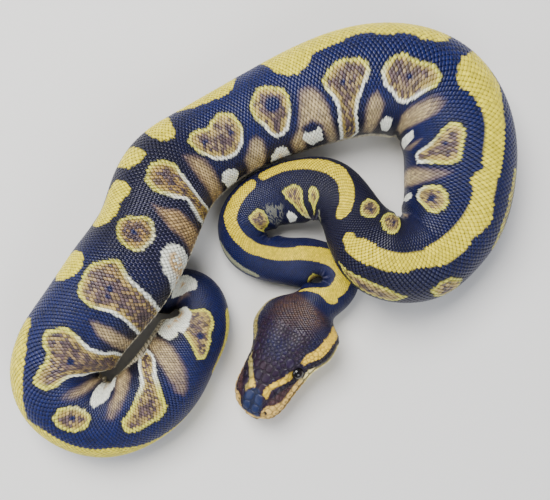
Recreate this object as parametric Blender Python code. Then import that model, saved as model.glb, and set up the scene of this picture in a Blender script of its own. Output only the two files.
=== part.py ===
"""A young ball python resting in a loose coil, modelled at life size.

The body is one long tube laid along a route on the floor. It is cut across into
short lengths, each its own object, from the neck behind the head to the tail tip.
The head, its lower jaw and the two eyes are separate objects.

The frame has +Z up and its origin under the middle of the coil, at floor level.
"""

import math

import bmesh
import bpy
import numpy as np
from mathutils import Matrix, Vector

MM = 0.001
GAP = 0.3 * MM

# Stations along the middle of the body, from the nape to the tip of the tail, in mm:
# x and y seen from above, the body's width there, and how far its belly is off the floor.
STATIONS = [
    # the neck leaves the head and doubles back on itself
    (18.9, -24.8, 17.4, 4),
    (22.3, -21.1, 18.2, 2.4),
    (25.2, -17.8, 19.2, 0.8),
    (26.5, -14.2, 19.4, 0),
    (25.0, -11.0, 18.4, 0),
    (21.3, -9.1, 18.4, 0),
    (16.5, -8.4, 19.6, 0),
    (9.5, -7.7, 18.6, 0),
    (1.5, -6.0, 18.8, 0),
    # bend at the left of the small loop
    (-5.0, -1.8, 20.6, 0),
    (-6.2, 5.5, 23.2, 0),
    (-2.4, 12.8, 22.8, 0),
    # back across the top of the small loop, rising to cross the neck
    (4.8, 16.9, 23.4, 1.0),
    (13.5, 18.4, 24.6, 3),
    (23.4, 17.4, 25.2, 6),
    (30.0, 11.8, 23.0, 9.5),
    (35.2, 2.4, 26.8, 11.5),
    (43.2, -5.3, 33.6, 10.5),
    (50.5, -6.8, 34.8, 6.5),
    (58.0, -5.0, 36.4, 2.5),
    # the big coil: right side, top and left side
    (64.8, 0.4, 36.8, 0),
    (70.0, 8.5, 38.6, 0),
    (73.0, 23.0, 41.0, 0),
    (72.5, 38.0, 42.2, 0),
    (63.2, 54.0, 43.4, 0),
    (44.0, 60.2, 42.0, 0),
    (22.2, 56.0, 39.4, 0),
    (-1.2, 46.4, 35.2, 0),
    (-21.6, 34.8, 34.6, 0),
    (-35.1, 21.7, 37.4, 4),
    (-41.4, 4.6, 36.2, 9),
    # over the tail and down to the loop at the lower left
    (-51.8, -16.0, 37.4, 14),
    (-67.8, -35.2, 36.2, 5),
    (-73.6, -46.8, 37.6, 0),
    (-72.9, -55.1, 35.8, 0),
    (-67.3, -62.2, 32.4, 0),
    (-58.0, -65.8, 29.2, 0),
    (-46.6, -62.1, 28.8, 0),
    # the last stretch of trunk, which runs back up and under the big coil
    (-36.2, -51.9, 29.0, 0),
    (-29.5, -40.5, 27.0, 0),
    (-25.4, -30.4, 25.4, 0),
    (-26.8, -22.4, 21.8, 0),
    (-34.0, -19.2, 18.6, 0),
    # the tail, curled under the big coil
    (-42.0, -18.0, 16.8, 0),
    (-48.4, -11.6, 14.8, 0),
    (-52.6, -4.0, 11.8, 0),
    (-53.8, 4.0, 8.6, 0),
    (-51.6, 11.6, 5.4, 0),
    (-47.6, 17.2, 2.6, 0),
]

# Where the body is divided, as the distance in mm behind the nape at which each length ends.
LENGTHS = [
    ("neck_1", 22),
    ("neck_2", 56),
    ("trunk_1", 90),
    ("trunk_2", 124),
    ("trunk_3", 158),
    ("trunk_4", 196),
    ("trunk_5", 232),
    ("trunk_6", 272),
    ("trunk_7", 312),
    ("trunk_8", 352),
    ("trunk_9", 388),
    ("trunk_10", 420),
    ("trunk_11", 450),
    ("trunk_12", 484),
    ("tail_1", 512),
    ("tail_2", 560),
]

# Middle of the whole outline, in the stations' own x and y.
MIDDLE = Vector((0.8, 0.4, 0.0)) * MM

RING_STEP = 5 * MM
RING_SIDES = 26
# Height of the body over its width, at distances in mm behind the nape.
FLATNESS = [(0, 0.80), (12, 0.74), (28, 0.76), (60, 0.80), (110, 0.84), (460, 0.84), (490, 0.68), (560, 0.72)]
WIDEST_AT = 0.45
BELLY_PRESS = 1.10
# The belly leaves the floor gently: it rests flat up to the first height, and rises fully by the second.
RESTS_UNDER = 0.2 * MM
RISES_BY = 1.4 * MM
# How near the inside of a bend may come to the bend's own middle, as a share of its radius,
# at distances in mm behind the nape.
TIGHTEST_INNER_SIDE = [(0, 0.86), (22, 0.86), (40, 0.90), (380, 0.95), (455, 0.95), (470, 0.90), (560, 0.84)]
PRESSED_TOGETHER = 10
BACK_ROUNDING = 2.1
BELLY_ROUNDING = 2.8
SIDE_ROUNDING = 2.25

# Cross sections of the head from the nape forward, in mm: distance from the nape, half width,
# top and underside above the head's own middle, and the shift of its middle to the left.
HEAD_SECTIONS = [
    (0.0, 9.6, 7.2, -7.2, 2.7),
    (3.0, 13.1, 7.7, -7.7, 2.1),
    (6.0, 15.9, 8.1, -8.0, 0.8),
    (9.0, 16.9, 8.5, -8.2, 0.2),
    (12.5, 17.2, 8.7, -8.2, 0.0),
    (16.5, 16.4, 8.7, -7.9, 0.0),
    (20.5, 14.1, 8.5, -7.5, 0.0),
    (25.0, 12.7, 7.9, -7.0, -0.1),
    (30.0, 12.0, 6.9, -6.5, -0.6),
    (35.0, 11.5, 5.7, -6.1, -1.0),
    (39.5, 10.7, 4.5, -5.7, -1.1),
    (43.0, 8.9, 3.1, -5.1, -0.9),
    (45.4, 5.7, 1.5, -4.1, -0.6),
    (46.4, 2.8, 0.2, -3.1, -0.4),
]
HEAD_RINGS = 26
HEAD_SIDES = 28
HEAD_PLACE = Vector((16.5, -23.9, 11.2)) * MM - MIDDLE
HEAD_HEADING = math.radians(-118.0)
HEAD_PITCH = math.radians(1.5)
HEAD_ROLL = math.radians(24)
NAPE_SLANT = 0.25
NAPE_REACH = 9.0 * MM
HEAD_BACK_ROUNDING = 2.5
HEAD_SIDE_ROUNDING = 2.3
CROWN_TAPER = 0.14

MOUTH_LINE = -2.6 * MM
MOUTH_CORNER = 8.0 * MM
MOUTH_RISE = 0.8 * MM

EYE_AT = Vector((25.2, 9.6, 2.7)) * MM
EYE_RADIUS = 2.6 * MM
SOCKET_RADIUS = EYE_RADIUS + GAP


def clear_scene():
    for item in list(bpy.data.objects):
        bpy.data.objects.remove(item, do_unlink=True)


def new_collection(name):
    collection = bpy.data.collections.new(name)
    bpy.context.scene.collection.children.link(collection)
    return collection


def new_material(name, colour, roughness):
    material = bpy.data.materials.new(name)
    material.use_nodes = True
    shader = material.node_tree.nodes["Principled BSDF"]
    shader.inputs["Base Color"].default_value = (*colour, 1.0)
    shader.inputs["Roughness"].default_value = roughness
    shader.inputs["Metallic"].default_value = 0.0
    return material


def smooth_rows(rows, places):
    """Values of a natural cubic spline through rows, whose first column is the distance."""
    table = np.array(rows, float)
    at, values = table[:, 0], table[:, 1:]
    steps = np.diff(at)
    count = len(at)
    matrix = np.eye(count)
    right = np.zeros_like(values)
    for i in range(1, count - 1):
        matrix[i, i - 1 : i + 2] = steps[i - 1], 2 * (steps[i - 1] + steps[i]), steps[i]
        right[i] = 6 * ((values[i + 1] - values[i]) / steps[i] - (values[i] - values[i - 1]) / steps[i - 1])
    bend = np.linalg.solve(matrix, right)
    span = np.clip(np.searchsorted(at, places, side="right") - 1, 0, count - 2)
    width = steps[span][:, None]
    after = (np.asarray(places) - at[span])[:, None]
    before = width - after
    return (
        bend[span] * before**3 / (6 * width)
        + bend[span + 1] * after**3 / (6 * width)
        + (values[span] / width - bend[span] * width / 6) * before
        + (values[span + 1] / width - bend[span + 1] * width / 6) * after
    )


def distances(points):
    """Distance run along a line of points, from 0 at the first."""
    legs = np.linalg.norm(np.diff(points, axis=0), axis=1)
    return np.concatenate([[0.0], np.cumsum(legs)])


def body_route():
    """Finely spaced points of the body's middle, with width and belly height, in metres."""
    stations = np.array(STATIONS, float) * MM
    stations[:, :2] -= MIDDLE[:2]
    chords = distances(stations[:, :2])
    fine = np.linspace(0, chords[-1], 2000)
    return smooth_rows(np.column_stack([chords, stations]), fine)


def body_rings(start, end):
    """Frames of the rings from start to end: middle, side direction, half widths, belly, height."""
    route = body_route()
    run = distances(route[:, :2])
    last = run[-1] - 0.2 * MM
    end = min(end, last)
    count = max(2, round((end - start) / RING_STEP)) + 1
    places = np.linspace(start, end, count)
    x, y, width, lift = (np.interp(places, run, route[:, i]) for i in range(4))
    heading = np.unwrap(np.arctan2(np.gradient(route[:, 1], run), np.gradient(route[:, 0], run)))
    turn = np.array([turning(places + shift, run, heading) for shift in (-RING_STEP, 0, RING_STEP)])
    heading = np.interp(places, run, heading)
    rise = np.clip((lift - RESTS_UNDER) / (RISES_BY - RESTS_UNDER), 0.0, 1.0)
    lift = lift * rise * rise * (3 - 2 * rise)
    flatness = np.interp(places / MM, *zip(*FLATNESS))
    limit = np.interp(places / MM, *zip(*TIGHTEST_INNER_SIDE))
    for i in range(count):
        side = Vector((-math.sin(heading[i]), math.cos(heading[i]), 0.0))
        half = width[i] / 2
        left = pressed(half, max(turn[:, i].max(), 0.0), limit[i])
        right = pressed(half, max(-turn[:, i].min(), 0.0), limit[i])
        yield Vector((x[i], y[i], 0.0)), side, left, right, lift[i], width[i] * flatness[i]


def turning(places, run, heading):
    """How sharply the route turns to the left about each place, in radians a metre."""
    reach = RING_STEP / 2
    after = np.interp(places + reach, run, heading)
    before = np.interp(places - reach, run, heading)
    return (after - before) / (2 * reach)


def pressed(half, turn, limit):
    """Half width on the inside of a bend, held short of the middle of a tight turn."""
    return half / (1 + (half * turn / limit) ** PRESSED_TOGETHER) ** (1 / PRESSED_TOGETHER)


def power(value, exponent):
    return math.copysign(abs(value) ** exponent, value)


def body_section(middle, side, left, right, lift, height):
    """Points round one ring: a rounded back, full flanks and a belly pressed flat."""
    points = []
    widest = lift + height * WIDEST_AT
    for i in range(RING_SIDES):
        angle = 2 * math.pi * (i + 0.5) / RING_SIDES
        across, up = math.sin(angle), math.cos(angle)
        reach = (left if across > 0 else right) * power(across, 2 / SIDE_ROUNDING)
        if up > 0:
            z = widest + height * (1 - WIDEST_AT) * power(up, 2 / BACK_ROUNDING)
        else:
            z = max(lift, widest + height * WIDEST_AT * BELLY_PRESS * power(up, 2 / BELLY_ROUNDING))
        points.append(middle + side * reach + Vector((0.0, 0.0, z)))
    return points


def loft(name, rings, material, collection):
    """A closed skin over a row of rings with equal numbers of points, capped at both ends."""
    bm = bmesh.new()
    loops = [[bm.verts.new(point) for point in ring] for ring in rings]
    for near, far in zip(loops, loops[1:]):
        edges = []
        for loop in (near, far):
            for a, b in zip(loop, loop[1:] + loop[:1]):
                edges.append(bm.edges.get((a, b)) or bm.edges.new((a, b)))
        bmesh.ops.bridge_loops(bm, edges=edges)
    bm.faces.new(loops[0])
    bm.faces.new(loops[-1])
    bmesh.ops.recalc_face_normals(bm, faces=bm.faces)
    mesh = bpy.data.meshes.new(name)
    bm.to_mesh(mesh)
    bm.free()
    mesh.materials.append(material)
    mesh.shade_smooth()
    mesh.set_sharp_from_angle(angle=math.radians(50))
    piece = bpy.data.objects.new(name, mesh)
    collection.objects.link(piece)
    return piece


def make_body(collection, material):
    """Every length of the body, each GAP short of the next."""
    start = GAP
    for name, end in LENGTHS:
        rings = [body_section(*ring) for ring in body_rings(start, end * MM)]
        loft(name, rings, material, collection)
        start = end * MM + GAP


def head_section(at, half, top, under, shift):
    """Points round the head at one distance from the nape, in the head's own frame."""
    points = []
    slant = NAPE_SLANT * max(0.0, 1 - at / NAPE_REACH)
    lips = MOUTH_LINE + 0.2 * (top + under)
    for i in range(HEAD_SIDES):
        angle = 2 * math.pi * (i + 0.5) / HEAD_SIDES
        across, up = math.sin(angle), math.cos(angle)
        taper = 1 - CROWN_TAPER * max(up, 0.0)
        y = shift + half * taper * power(across, 2 / HEAD_SIDE_ROUNDING)
        reach = (top - lips) if up > 0 else (lips - under)
        z = lips + reach * power(up, 2 / HEAD_BACK_ROUNDING)
        points.append(Vector((at + slant * (y - shift), y, z)))
    return points


def head_rings():
    """Rings from the nape to the snout, closer together where the snout rounds off."""
    length = HEAD_SECTIONS[-1][0]
    steps = np.sin(np.linspace(0, math.pi / 2, HEAD_RINGS)) * length
    steps[0] = 0.0
    rows = smooth_rows(HEAD_SECTIONS, steps)
    rings = []
    for at, row in zip(steps, rows):
        rings.append(head_section(at * MM, *(row * MM)))
    return rings


def mouth_cutter(name, above, material, collection):
    """A block whose one face is the mouth line, which rises towards the corners of the jaw."""
    bm = bmesh.new()
    far = 60 * MM
    height = 30 * MM if above else -30 * MM
    edge = GAP / 2 if above else -GAP / 2
    line = [(-5.0, 0.0), (MOUTH_CORNER / MM, 0.0), (20.0, MOUTH_RISE / MM), (34.0, 0.0), (60.0, -0.6)]
    outline = [(x * MM, MOUTH_LINE + z * MM + edge) for x, z in line]
    outline += [(outline[-1][0], height), (outline[0][0], height)]
    face = bm.faces.new([bm.verts.new((x, -far, z)) for x, z in outline])
    made = bmesh.ops.extrude_face_region(bm, geom=[face])
    moved = [item for item in made["geom"] if isinstance(item, bmesh.types.BMVert)]
    bmesh.ops.translate(bm, verts=moved, vec=(0.0, 2 * far, 0.0))
    bmesh.ops.recalc_face_normals(bm, faces=bm.faces)
    mesh = bpy.data.meshes.new(name)
    bm.to_mesh(mesh)
    bm.free()
    mesh.materials.append(material)
    cutter = bpy.data.objects.new(name, mesh)
    collection.objects.link(cutter)
    return cutter


def ball(name, radius, place, material, collection, rings):
    bm = bmesh.new()
    bmesh.ops.create_uvsphere(bm, u_segments=rings * 2, v_segments=rings, radius=radius)
    bmesh.ops.translate(bm, verts=bm.verts, vec=place)
    mesh = bpy.data.meshes.new(name)
    bm.to_mesh(mesh)
    bm.free()
    mesh.materials.append(material)
    mesh.shade_smooth()
    piece = bpy.data.objects.new(name, mesh)
    collection.objects.link(piece)
    return piece


def cut(piece, cutter, operation="DIFFERENCE"):
    modifier = piece.modifiers.new(operation.lower() + "_" + cutter.name, "BOOLEAN")
    modifier.object = cutter
    modifier.operation = operation
    modifier.solver = "EXACT"
    cutter.hide_render = True
    cutter.display_type = "WIRE"


def head_frame():
    """Turns the head's own frame, snout along +X, into its place at the end of the neck."""
    turned = Matrix.Rotation(HEAD_HEADING, 4, "Z") @ Matrix.Rotation(-HEAD_PITCH, 4, "Y")
    return Matrix.Translation(HEAD_PLACE) @ turned @ Matrix.Rotation(HEAD_ROLL, 4, "X")


def make_head(collection, cutters, skin, eye_material):
    """The head above the mouth line, the lower jaw under it, and the eyes in their sockets."""
    head = loft("head", head_rings(), skin, collection)
    jaw = loft("lower_jaw", head_rings(), skin, collection)
    cut(head, mouth_cutter("mouth_above", True, skin, cutters), "INTERSECT")
    cut(jaw, mouth_cutter("mouth_below", False, skin, cutters), "INTERSECT")
    pieces = [head, jaw]
    for name, mirror in (("eye_left", 1), ("eye_right", -1)):
        place = Vector((EYE_AT.x, EYE_AT.y * mirror, EYE_AT.z))
        eye = ball(name, EYE_RADIUS, place, eye_material, collection, 10)
        socket = ball("socket_" + name, SOCKET_RADIUS, place, skin, cutters, 10)
        cut(head, socket)
        pieces += [eye, socket]
    frame = head_frame()
    for piece in pieces + [cutters.objects["mouth_above"], cutters.objects["mouth_below"]]:
        piece.matrix_world = frame


clear_scene()
python_parts = new_collection("ball_python")
python_cutters = new_collection("cutters")
scaly_skin = new_material("scaly_skin", (0.03, 0.04, 0.10), 0.35)
dark_eye = new_material("dark_eye", (0.01, 0.01, 0.015), 0.08)
make_body(python_parts, scaly_skin)
make_head(python_parts, python_cutters, scaly_skin, dark_eye)
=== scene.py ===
"""A young ball python resting in a loose coil, at life size, with all its scales."""

import math

import bmesh
import bpy
import numpy as np
from mathutils import Matrix, Vector
from mathutils.bvhtree import BVHTree


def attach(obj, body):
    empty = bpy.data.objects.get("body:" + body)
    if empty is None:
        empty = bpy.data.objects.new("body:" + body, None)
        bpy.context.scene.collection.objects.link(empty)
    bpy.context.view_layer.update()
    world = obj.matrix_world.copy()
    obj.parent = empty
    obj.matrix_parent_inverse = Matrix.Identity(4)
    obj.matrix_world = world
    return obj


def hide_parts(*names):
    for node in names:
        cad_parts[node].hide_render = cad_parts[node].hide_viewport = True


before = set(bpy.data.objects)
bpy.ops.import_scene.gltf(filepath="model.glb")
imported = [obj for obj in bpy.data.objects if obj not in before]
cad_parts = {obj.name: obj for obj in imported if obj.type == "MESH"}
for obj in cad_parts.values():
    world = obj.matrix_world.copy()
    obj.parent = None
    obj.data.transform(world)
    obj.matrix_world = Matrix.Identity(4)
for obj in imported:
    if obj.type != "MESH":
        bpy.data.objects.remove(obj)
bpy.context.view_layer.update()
MM = 0.001


# ---------------------------------------------------------------- the table and the light
# A pale matt table top, of one flat sheet, lit by wide soft lamps from above. The camera looks
# down on it from nearly overhead.

TABLE_SIZE = 3.0
TABLE_COLOUR = (0.80, 0.79, 0.77)
# Square lamps turned toward the animal: name, place, width in metres, power in watts, colour.
LAMPS = [
    ("lamp_overhead", (-0.25, 0.35, 0.85), 0.55, 15.5, (1.0, 0.98, 0.95)),
    ("lamp_front", (0.35, -0.75, 0.75), 0.60, 6.0, (0.93, 0.96, 1.0)),
    ("lamp_side", (-0.9, -0.1, 0.5), 0.60, 4.0, (0.92, 0.95, 1.0)),
]
ROOM_LIGHT = (0.86, 0.90, 1.0, 1.0)
ROOM_STRENGTH = 0.34
CAMERA_TARGET = Vector((3.3, -4.8, 16.0)) * MM
CAMERA_DISTANCE = 340 * MM
CAMERA_ELEVATION = math.radians(84)
CAMERA_LENS = 60.15


def plain_material(name, colour, roughness):
    material = bpy.data.materials.new(name)
    material.use_nodes = True
    shader = material.node_tree.nodes["Principled BSDF"]
    shader.inputs["Base Color"].default_value = (*colour, 1.0)
    shader.inputs["Roughness"].default_value = roughness
    return material


def placed(name, data):
    """An object in the scene that holds a mesh, a light or a camera."""
    made = bpy.data.objects.new(name, data)
    bpy.context.scene.collection.objects.link(made)
    return made


bm = bmesh.new()
bmesh.ops.create_grid(bm, x_segments=2, y_segments=2, size=TABLE_SIZE / 2)
table_mesh = bpy.data.meshes.new("table_top")
bm.to_mesh(table_mesh)
bm.free()
table_mesh.materials.append(plain_material("pale_table", TABLE_COLOUR, 0.75))
table_top = placed("table_top", table_mesh)

for name, place, size, power, colour in LAMPS:
    light = bpy.data.lights.new(name, "AREA")
    light.size = size
    light.energy = power
    light.color = colour
    lamp = placed(name, light)
    lamp.location = place
    lamp.rotation_euler = (-Vector(place)).to_track_quat("-Z", "Y").to_euler()

world = bpy.data.worlds.new("studio")
world.use_nodes = True
background = world.node_tree.nodes["Background"]
background.inputs["Color"].default_value = ROOM_LIGHT
background.inputs["Strength"].default_value = ROOM_STRENGTH
bpy.context.scene.world = world

camera_data = bpy.data.cameras.new("overhead")
camera_data.lens = CAMERA_LENS
camera_data.sensor_width = 36.0
camera_data.clip_start = 0.01
camera_data.clip_end = 20.0
camera = placed("overhead", camera_data)
back_off = Vector((0.0, -math.cos(CAMERA_ELEVATION), math.sin(CAMERA_ELEVATION)))
camera.location = CAMERA_TARGET + back_off * CAMERA_DISTANCE
camera.rotation_euler = (math.pi / 2 - CAMERA_ELEVATION, 0.0, 0.0)
bpy.context.scene.camera = camera


# ---------------------------------------------------------------- the shape of the body
# A long muscular tube of flesh laid along the floor: a round back, full flanks, and a belly
# that its own weight presses flat. It is a run of stations, joined by a smooth curve.

# x, y, width and height of the belly off the floor, in mm, from the nape to the tail tip.
BODY_STATIONS = [
    (18.9, -24.8, 17.4, 4), (22.3, -21.1, 18.2, 2.4), (25.2, -17.8, 19.2, 0.8), (26.5, -14.2, 19.4, 0),
    (25.0, -11.0, 18.4, 0), (21.3, -9.1, 18.4, 0), (16.5, -8.4, 19.6, 0), (9.5, -7.7, 18.6, 0),
    (1.5, -6.0, 18.8, 0), (-5.0, -1.8, 20.6, 0), (-6.2, 5.5, 23.2, 0), (-2.4, 12.8, 22.8, 0),
    (4.8, 16.9, 23.4, 1.0), (13.5, 18.4, 24.6, 3), (23.4, 17.4, 25.2, 6), (30.0, 11.8, 23.0, 9.5),
    (35.2, 2.4, 26.8, 11.5), (43.2, -5.3, 33.6, 10.5), (50.5, -6.8, 34.8, 6.5), (58.0, -5.0, 36.4, 2.5),
    (64.8, 0.4, 36.8, 0), (70.0, 8.5, 38.6, 0), (73.0, 23.0, 41.0, 0), (72.5, 38.0, 42.2, 0),
    (63.2, 54.0, 43.4, 0), (44.0, 60.2, 42.0, 0), (22.2, 56.0, 39.4, 0), (-1.2, 46.4, 35.2, 0),
    (-21.6, 34.8, 34.6, 0), (-35.1, 21.7, 37.4, 4), (-41.4, 4.6, 36.2, 9), (-51.8, -16.0, 37.4, 14),
    (-67.8, -35.2, 36.2, 5), (-73.6, -46.8, 37.6, 0), (-72.9, -55.1, 35.8, 0), (-67.3, -62.2, 32.4, 0),
    (-58.0, -65.8, 29.2, 0), (-46.6, -62.1, 28.8, 0), (-36.2, -51.9, 29.0, 0), (-29.5, -40.5, 27.0, 0),
    (-25.4, -30.4, 25.4, 0), (-26.8, -22.4, 21.8, 0), (-34.0, -19.2, 18.6, 0), (-42.0, -18.0, 16.8, 0),
    (-48.4, -11.6, 14.8, 0), (-52.6, -4.0, 11.8, 0), (-53.8, 4.0, 8.6, 0), (-51.6, 11.6, 5.4, 0),
    (-47.6, 17.2, 2.6, 0),
]
MIDDLE = np.array([0.8, 0.4]) * MM
# Height over width, at distances in mm behind the nape.
FLATNESS = [
    (0, 0.80), (12, 0.74), (28, 0.76), (60, 0.80), (110, 0.84), (460, 0.84), (490, 0.68), (560, 0.72),
]
# Where the spine lies, in mm round the body from its top: the coil leans outward, so the
# back rolls toward the outside of each bend. Plus is toward the animal's right.
SPINE_LEAN = [
    (0, 3), (4, 1), (8, -1), (14, -4), (22, -3.4), (30, -3.0), (37, -1.7), (44, -0.9), (50, 1.2), (54, 4.5),
    (58, 7.7), (66, 8.8), (78, 10), (85, 9.5), (90, 8), (94, 6), (98, 2.7), (102, -1.3), (107, -4.5),
    (114, -6.5), (122, -4.8), (133, -3.5), (145, -4.8), (158, -6.8), (170, -7), (178, -8.3), (186, -10),
    (192, -10.5), (199, -12), (205, -16), (212, -20), (232, -21), (242, -19.5), (252, -18), (262, -17),
    (300, -18), (340, -18), (370, -19), (395, -17), (411, -21), (425, -18), (440, -19), (452, -24),
    (470, -20), (485, -12), (500, -4), (541, 0),
]
# A bend is read over this length to either side of a place.
BEND_REACH = 5 * MM
# The most that half a width may be of the radius of the bend on whose inside it lies.
TIGHTEST_INNER_SIDE = [
    (0, 0.96), (22, 0.96), (40, 0.90), (380, 0.95), (455, 0.95), (470, 0.96), (490, 0.96), (500, 0.84),
]
# The part of the height at which the body is widest, and how far the belly would hang below
# the floor if nothing pressed it. The roundings are the powers of the section's quarter curves.
WIDEST_AT = 0.45
BELLY_PRESS = 1.10
BACK_ROUNDING = 2.1
BELLY_ROUNDING = 2.8
SIDE_ROUNDING = 2.25
TAIL_TIP = 0.8 * MM
# How deep the soft skin lies under the outside of the coat.
COAT_DEPTH = 0.35 * MM
# Places round the girth, counted from the belly's midline over the left side and the back.
COLUMNS = 256


def smooth_rows(rows, places):
    """Values of a natural cubic spline through rows, whose first column is the distance."""
    table = np.array(rows, float)
    at, values = table[:, 0], table[:, 1:]
    steps = np.diff(at)
    count = len(at)
    matrix = np.eye(count)
    right = np.zeros_like(values)
    for i in range(1, count - 1):
        matrix[i, i - 1 : i + 2] = steps[i - 1], 2 * (steps[i - 1] + steps[i]), steps[i]
        right[i] = 6 * ((values[i + 1] - values[i]) / steps[i] - (values[i] - values[i - 1]) / steps[i - 1])
    bend = np.linalg.solve(matrix, right)
    span = np.clip(np.searchsorted(at, places, side="right") - 1, 0, count - 2)
    width = steps[span][:, None]
    after = (np.asarray(places) - at[span])[:, None]
    before = width - after
    return (
        bend[span] * before**3 / (6 * width)
        + bend[span + 1] * after**3 / (6 * width)
        + (values[span] / width - bend[span] * width / 6) * before
        + (values[span + 1] / width - bend[span + 1] * width / 6) * after
    )


def along_table(rows, places):
    """Straight-line values of a two-column table."""
    at, values = zip(*rows)
    return np.interp(places, at, values)


def distances(points):
    """How far each point lies along the line through them all."""
    legs = np.linalg.norm(np.diff(points, axis=0), axis=1)
    return np.concatenate([[0.0], np.cumsum(legs)])


def power(value, exponent):
    return np.sign(value) * np.abs(value) ** exponent


def softly(value):
    """0 below 0, 1 above 1, and a smooth rise between them."""
    value = np.clip(value, 0.0, 1.0)
    return value * value * (3 - 2 * value)


stations = np.array(BODY_STATIONS, float) * MM
stations[:, :2] -= MIDDLE
chords = distances(stations[:, :2])
route = smooth_rows(np.column_stack([chords, stations]), np.linspace(0, chords[-1], 2000))
route_run = distances(route[:, :2])
route_slopes = [np.gradient(route[:, axis], route_run) for axis in (1, 0)]
route_heading = np.unwrap(np.arctan2(*route_slopes))
BODY_LENGTH = route_run[-1] - 0.2 * MM


def turning(places):
    """How sharply the body bends at each place, in radians for each metre, plus to the left."""
    reach = BEND_REACH / 2
    after = np.interp(places + reach, route_run, route_heading)
    before = np.interp(places - reach, route_run, route_heading)
    return (after - before) / (2 * reach)


def smoothed(values, width):
    """A moving average along the first axis, with the ends repeated."""
    kernel = np.hanning(width + 2)[1:-1]
    padded = np.concatenate([np.full(width, values[0]), values, np.full(width, values[-1])])
    return np.convolve(padded, kernel / kernel.sum(), "same")[width:-width]


def pressed(half, turn, limit):
    """Half width on the inside of a bend, held short of the middle of a tight turn."""
    return half / (1 + (half * np.maximum(turn, 0) / limit) ** 10) ** 0.1


def body_sections(places, angles):
    """Rings of the body: a point for each place along it and each angle from its top."""
    x, y, width, lift = (np.interp(places, route_run, route[:, i]) for i in range(4))
    heading = np.interp(places, route_run, route_heading)
    turn = np.array([turning(places + shift) for shift in (-BEND_REACH, 0, BEND_REACH)])
    limit = along_table(TIGHTEST_INNER_SIDE, places / MM)
    left = smoothed(pressed(width / 2, turn.max(axis=0), limit), 9)
    right = smoothed(pressed(width / 2, -turn.min(axis=0), limit), 9)
    lift = lift * softly((lift / MM - 0.2) / 1.2)
    height = width * along_table(FLATNESS, places / MM)
    across, up = np.sin(angles), np.cos(angles)
    reach = np.where(across > 0, left[:, None], right[:, None]) * power(across, 2 / SIDE_ROUNDING)
    widest = (lift + height * WIDEST_AT)[:, None]
    back = widest + height[:, None] * (1 - WIDEST_AT) * power(np.maximum(up, 0), 2 / BACK_ROUNDING)
    sag = height[:, None] * WIDEST_AT * BELLY_PRESS
    belly = widest - sag * power(np.maximum(-up, 0), 2 / BELLY_ROUNDING)
    z = np.where(up > 0, back, np.maximum(lift[:, None], belly))
    side_x, side_y = -np.sin(heading)[:, None], np.cos(heading)[:, None]
    return np.stack([x[:, None] + side_x * reach, y[:, None] + side_y * reach, z], axis=-1)


def by_girth(rings, angles, lean):
    """The rings again, with COLUMNS + 1 points spaced evenly round the girth from the spine."""
    legs = np.linalg.norm(np.diff(rings, axis=1), axis=2)
    run = np.concatenate([np.zeros((len(rings), 1)), np.cumsum(legs, axis=1)], axis=1)
    top = np.argmin(np.abs(angles))
    shares = np.linspace(-0.5, 0.5, COLUMNS + 1)
    out = np.empty((len(rings), COLUMNS + 1, 3))
    for i in range(len(rings)):
        girth = max(run[i, -1], 1e-9)
        wanted = (run[i, top] + lean[i] + shares * girth) % girth
        for axis in range(3):
            out[i, :, axis] = np.interp(wanted, run[i], rings[i, :, axis])
    return out


# ---------------------------------------------------------------- the shape of the head
# A broad flat head on a narrow neck, with swollen jaw muscles behind the eyes and a blunt
# snout. The skull is under thin skin, so brow, snout edge and jaw line show.

# Distance from the nape, half width, top, underside, shift of the middle, in mm.
HEAD_SECTIONS = [
    (0.0, 9.6, 7.2, -7.2, 2.7),
    (3.0, 13.1, 7.7, -7.7, 2.1),
    (6.0, 15.9, 8.1, -8.0, 0.8),
    (9.0, 16.9, 8.5, -8.2, 0.2),
    (12.5, 17.2, 8.7, -8.2, 0.0),
    (16.5, 16.4, 8.7, -7.9, 0.0),
    (20.5, 14.1, 8.5, -7.5, 0.0),
    (25.0, 12.7, 7.9, -7.0, -0.1),
    (30.0, 12.0, 6.9, -6.5, -0.6),
    (35.0, 11.5, 5.7, -6.1, -1.0),
    (39.5, 10.7, 4.5, -5.7, -1.1),
    (43.0, 8.9, 3.1, -5.1, -0.9),
    (45.4, 5.7, 1.5, -4.1, -0.6),
    (46.4, 2.8, 0.2, -3.1, -0.4),
]
HEAD_LENGTH = 46.4
# The snout is closed by a short rounded cap past its last section.
SNOUT_CAP = 0.45
HEAD_BACK_ROUNDING = 2.5
HEAD_SIDE_ROUNDING = 2.3
# How much narrower the crown is than the jaws, as a part of the width.
CROWN_TAPER = 0.14
# The jaw angles reach back past the middle of the nape.
NAPE_SLANT = 0.25
NAPE_REACH = 9.0
MOUTH_LINE = -2.6
EYE_AT = np.array([25.2, 9.6, 2.7])
EYE_RADIUS = 2.6
# Swellings and hollows of the head on both sides: height in mm, middle and spread.
HEAD_SWELLINGS = [
    (0.45, (25.5, 8.3, 6.2), (5.0, 2.2, 1.8)),
    (0.25, (31.0, 8.2, 4.6), (4.0, 1.6, 1.4)),
    (0.30, (37.0, 6.6, 3.2), (4.5, 1.5, 1.4)),
    (-0.55, (32.5, 10.5, 0.6), (4.5, 2.0, 1.7)),
    (-0.75, (25.8, 11.0, 2.8), (3.1, 3.5, 2.5)),
    (0.35, (12.0, 15.5, 0.0), (6.0, 4.0, 5.0)),
    (-0.45, (18.5, 12.5, 5.0), (3.2, 2.4, 2.4)),
    (-0.40, (14.0, 0.0, 9.0), (8.0, 2.6, 3.0)),
    (0.30, (15.0, 6.5, 8.0), (7.0, 3.6, 3.0)),
    (0.35, (42.3, 2.6, 3.0), (2.2, 1.9, 2.0)),
    (-0.30, (43.0, 0.0, 3.2), (3.2, 0.5, 2.5)),
    (-0.75, (43.6, 5.6, 0.9), (0.75, 1.6, 0.65)),
]
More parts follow.
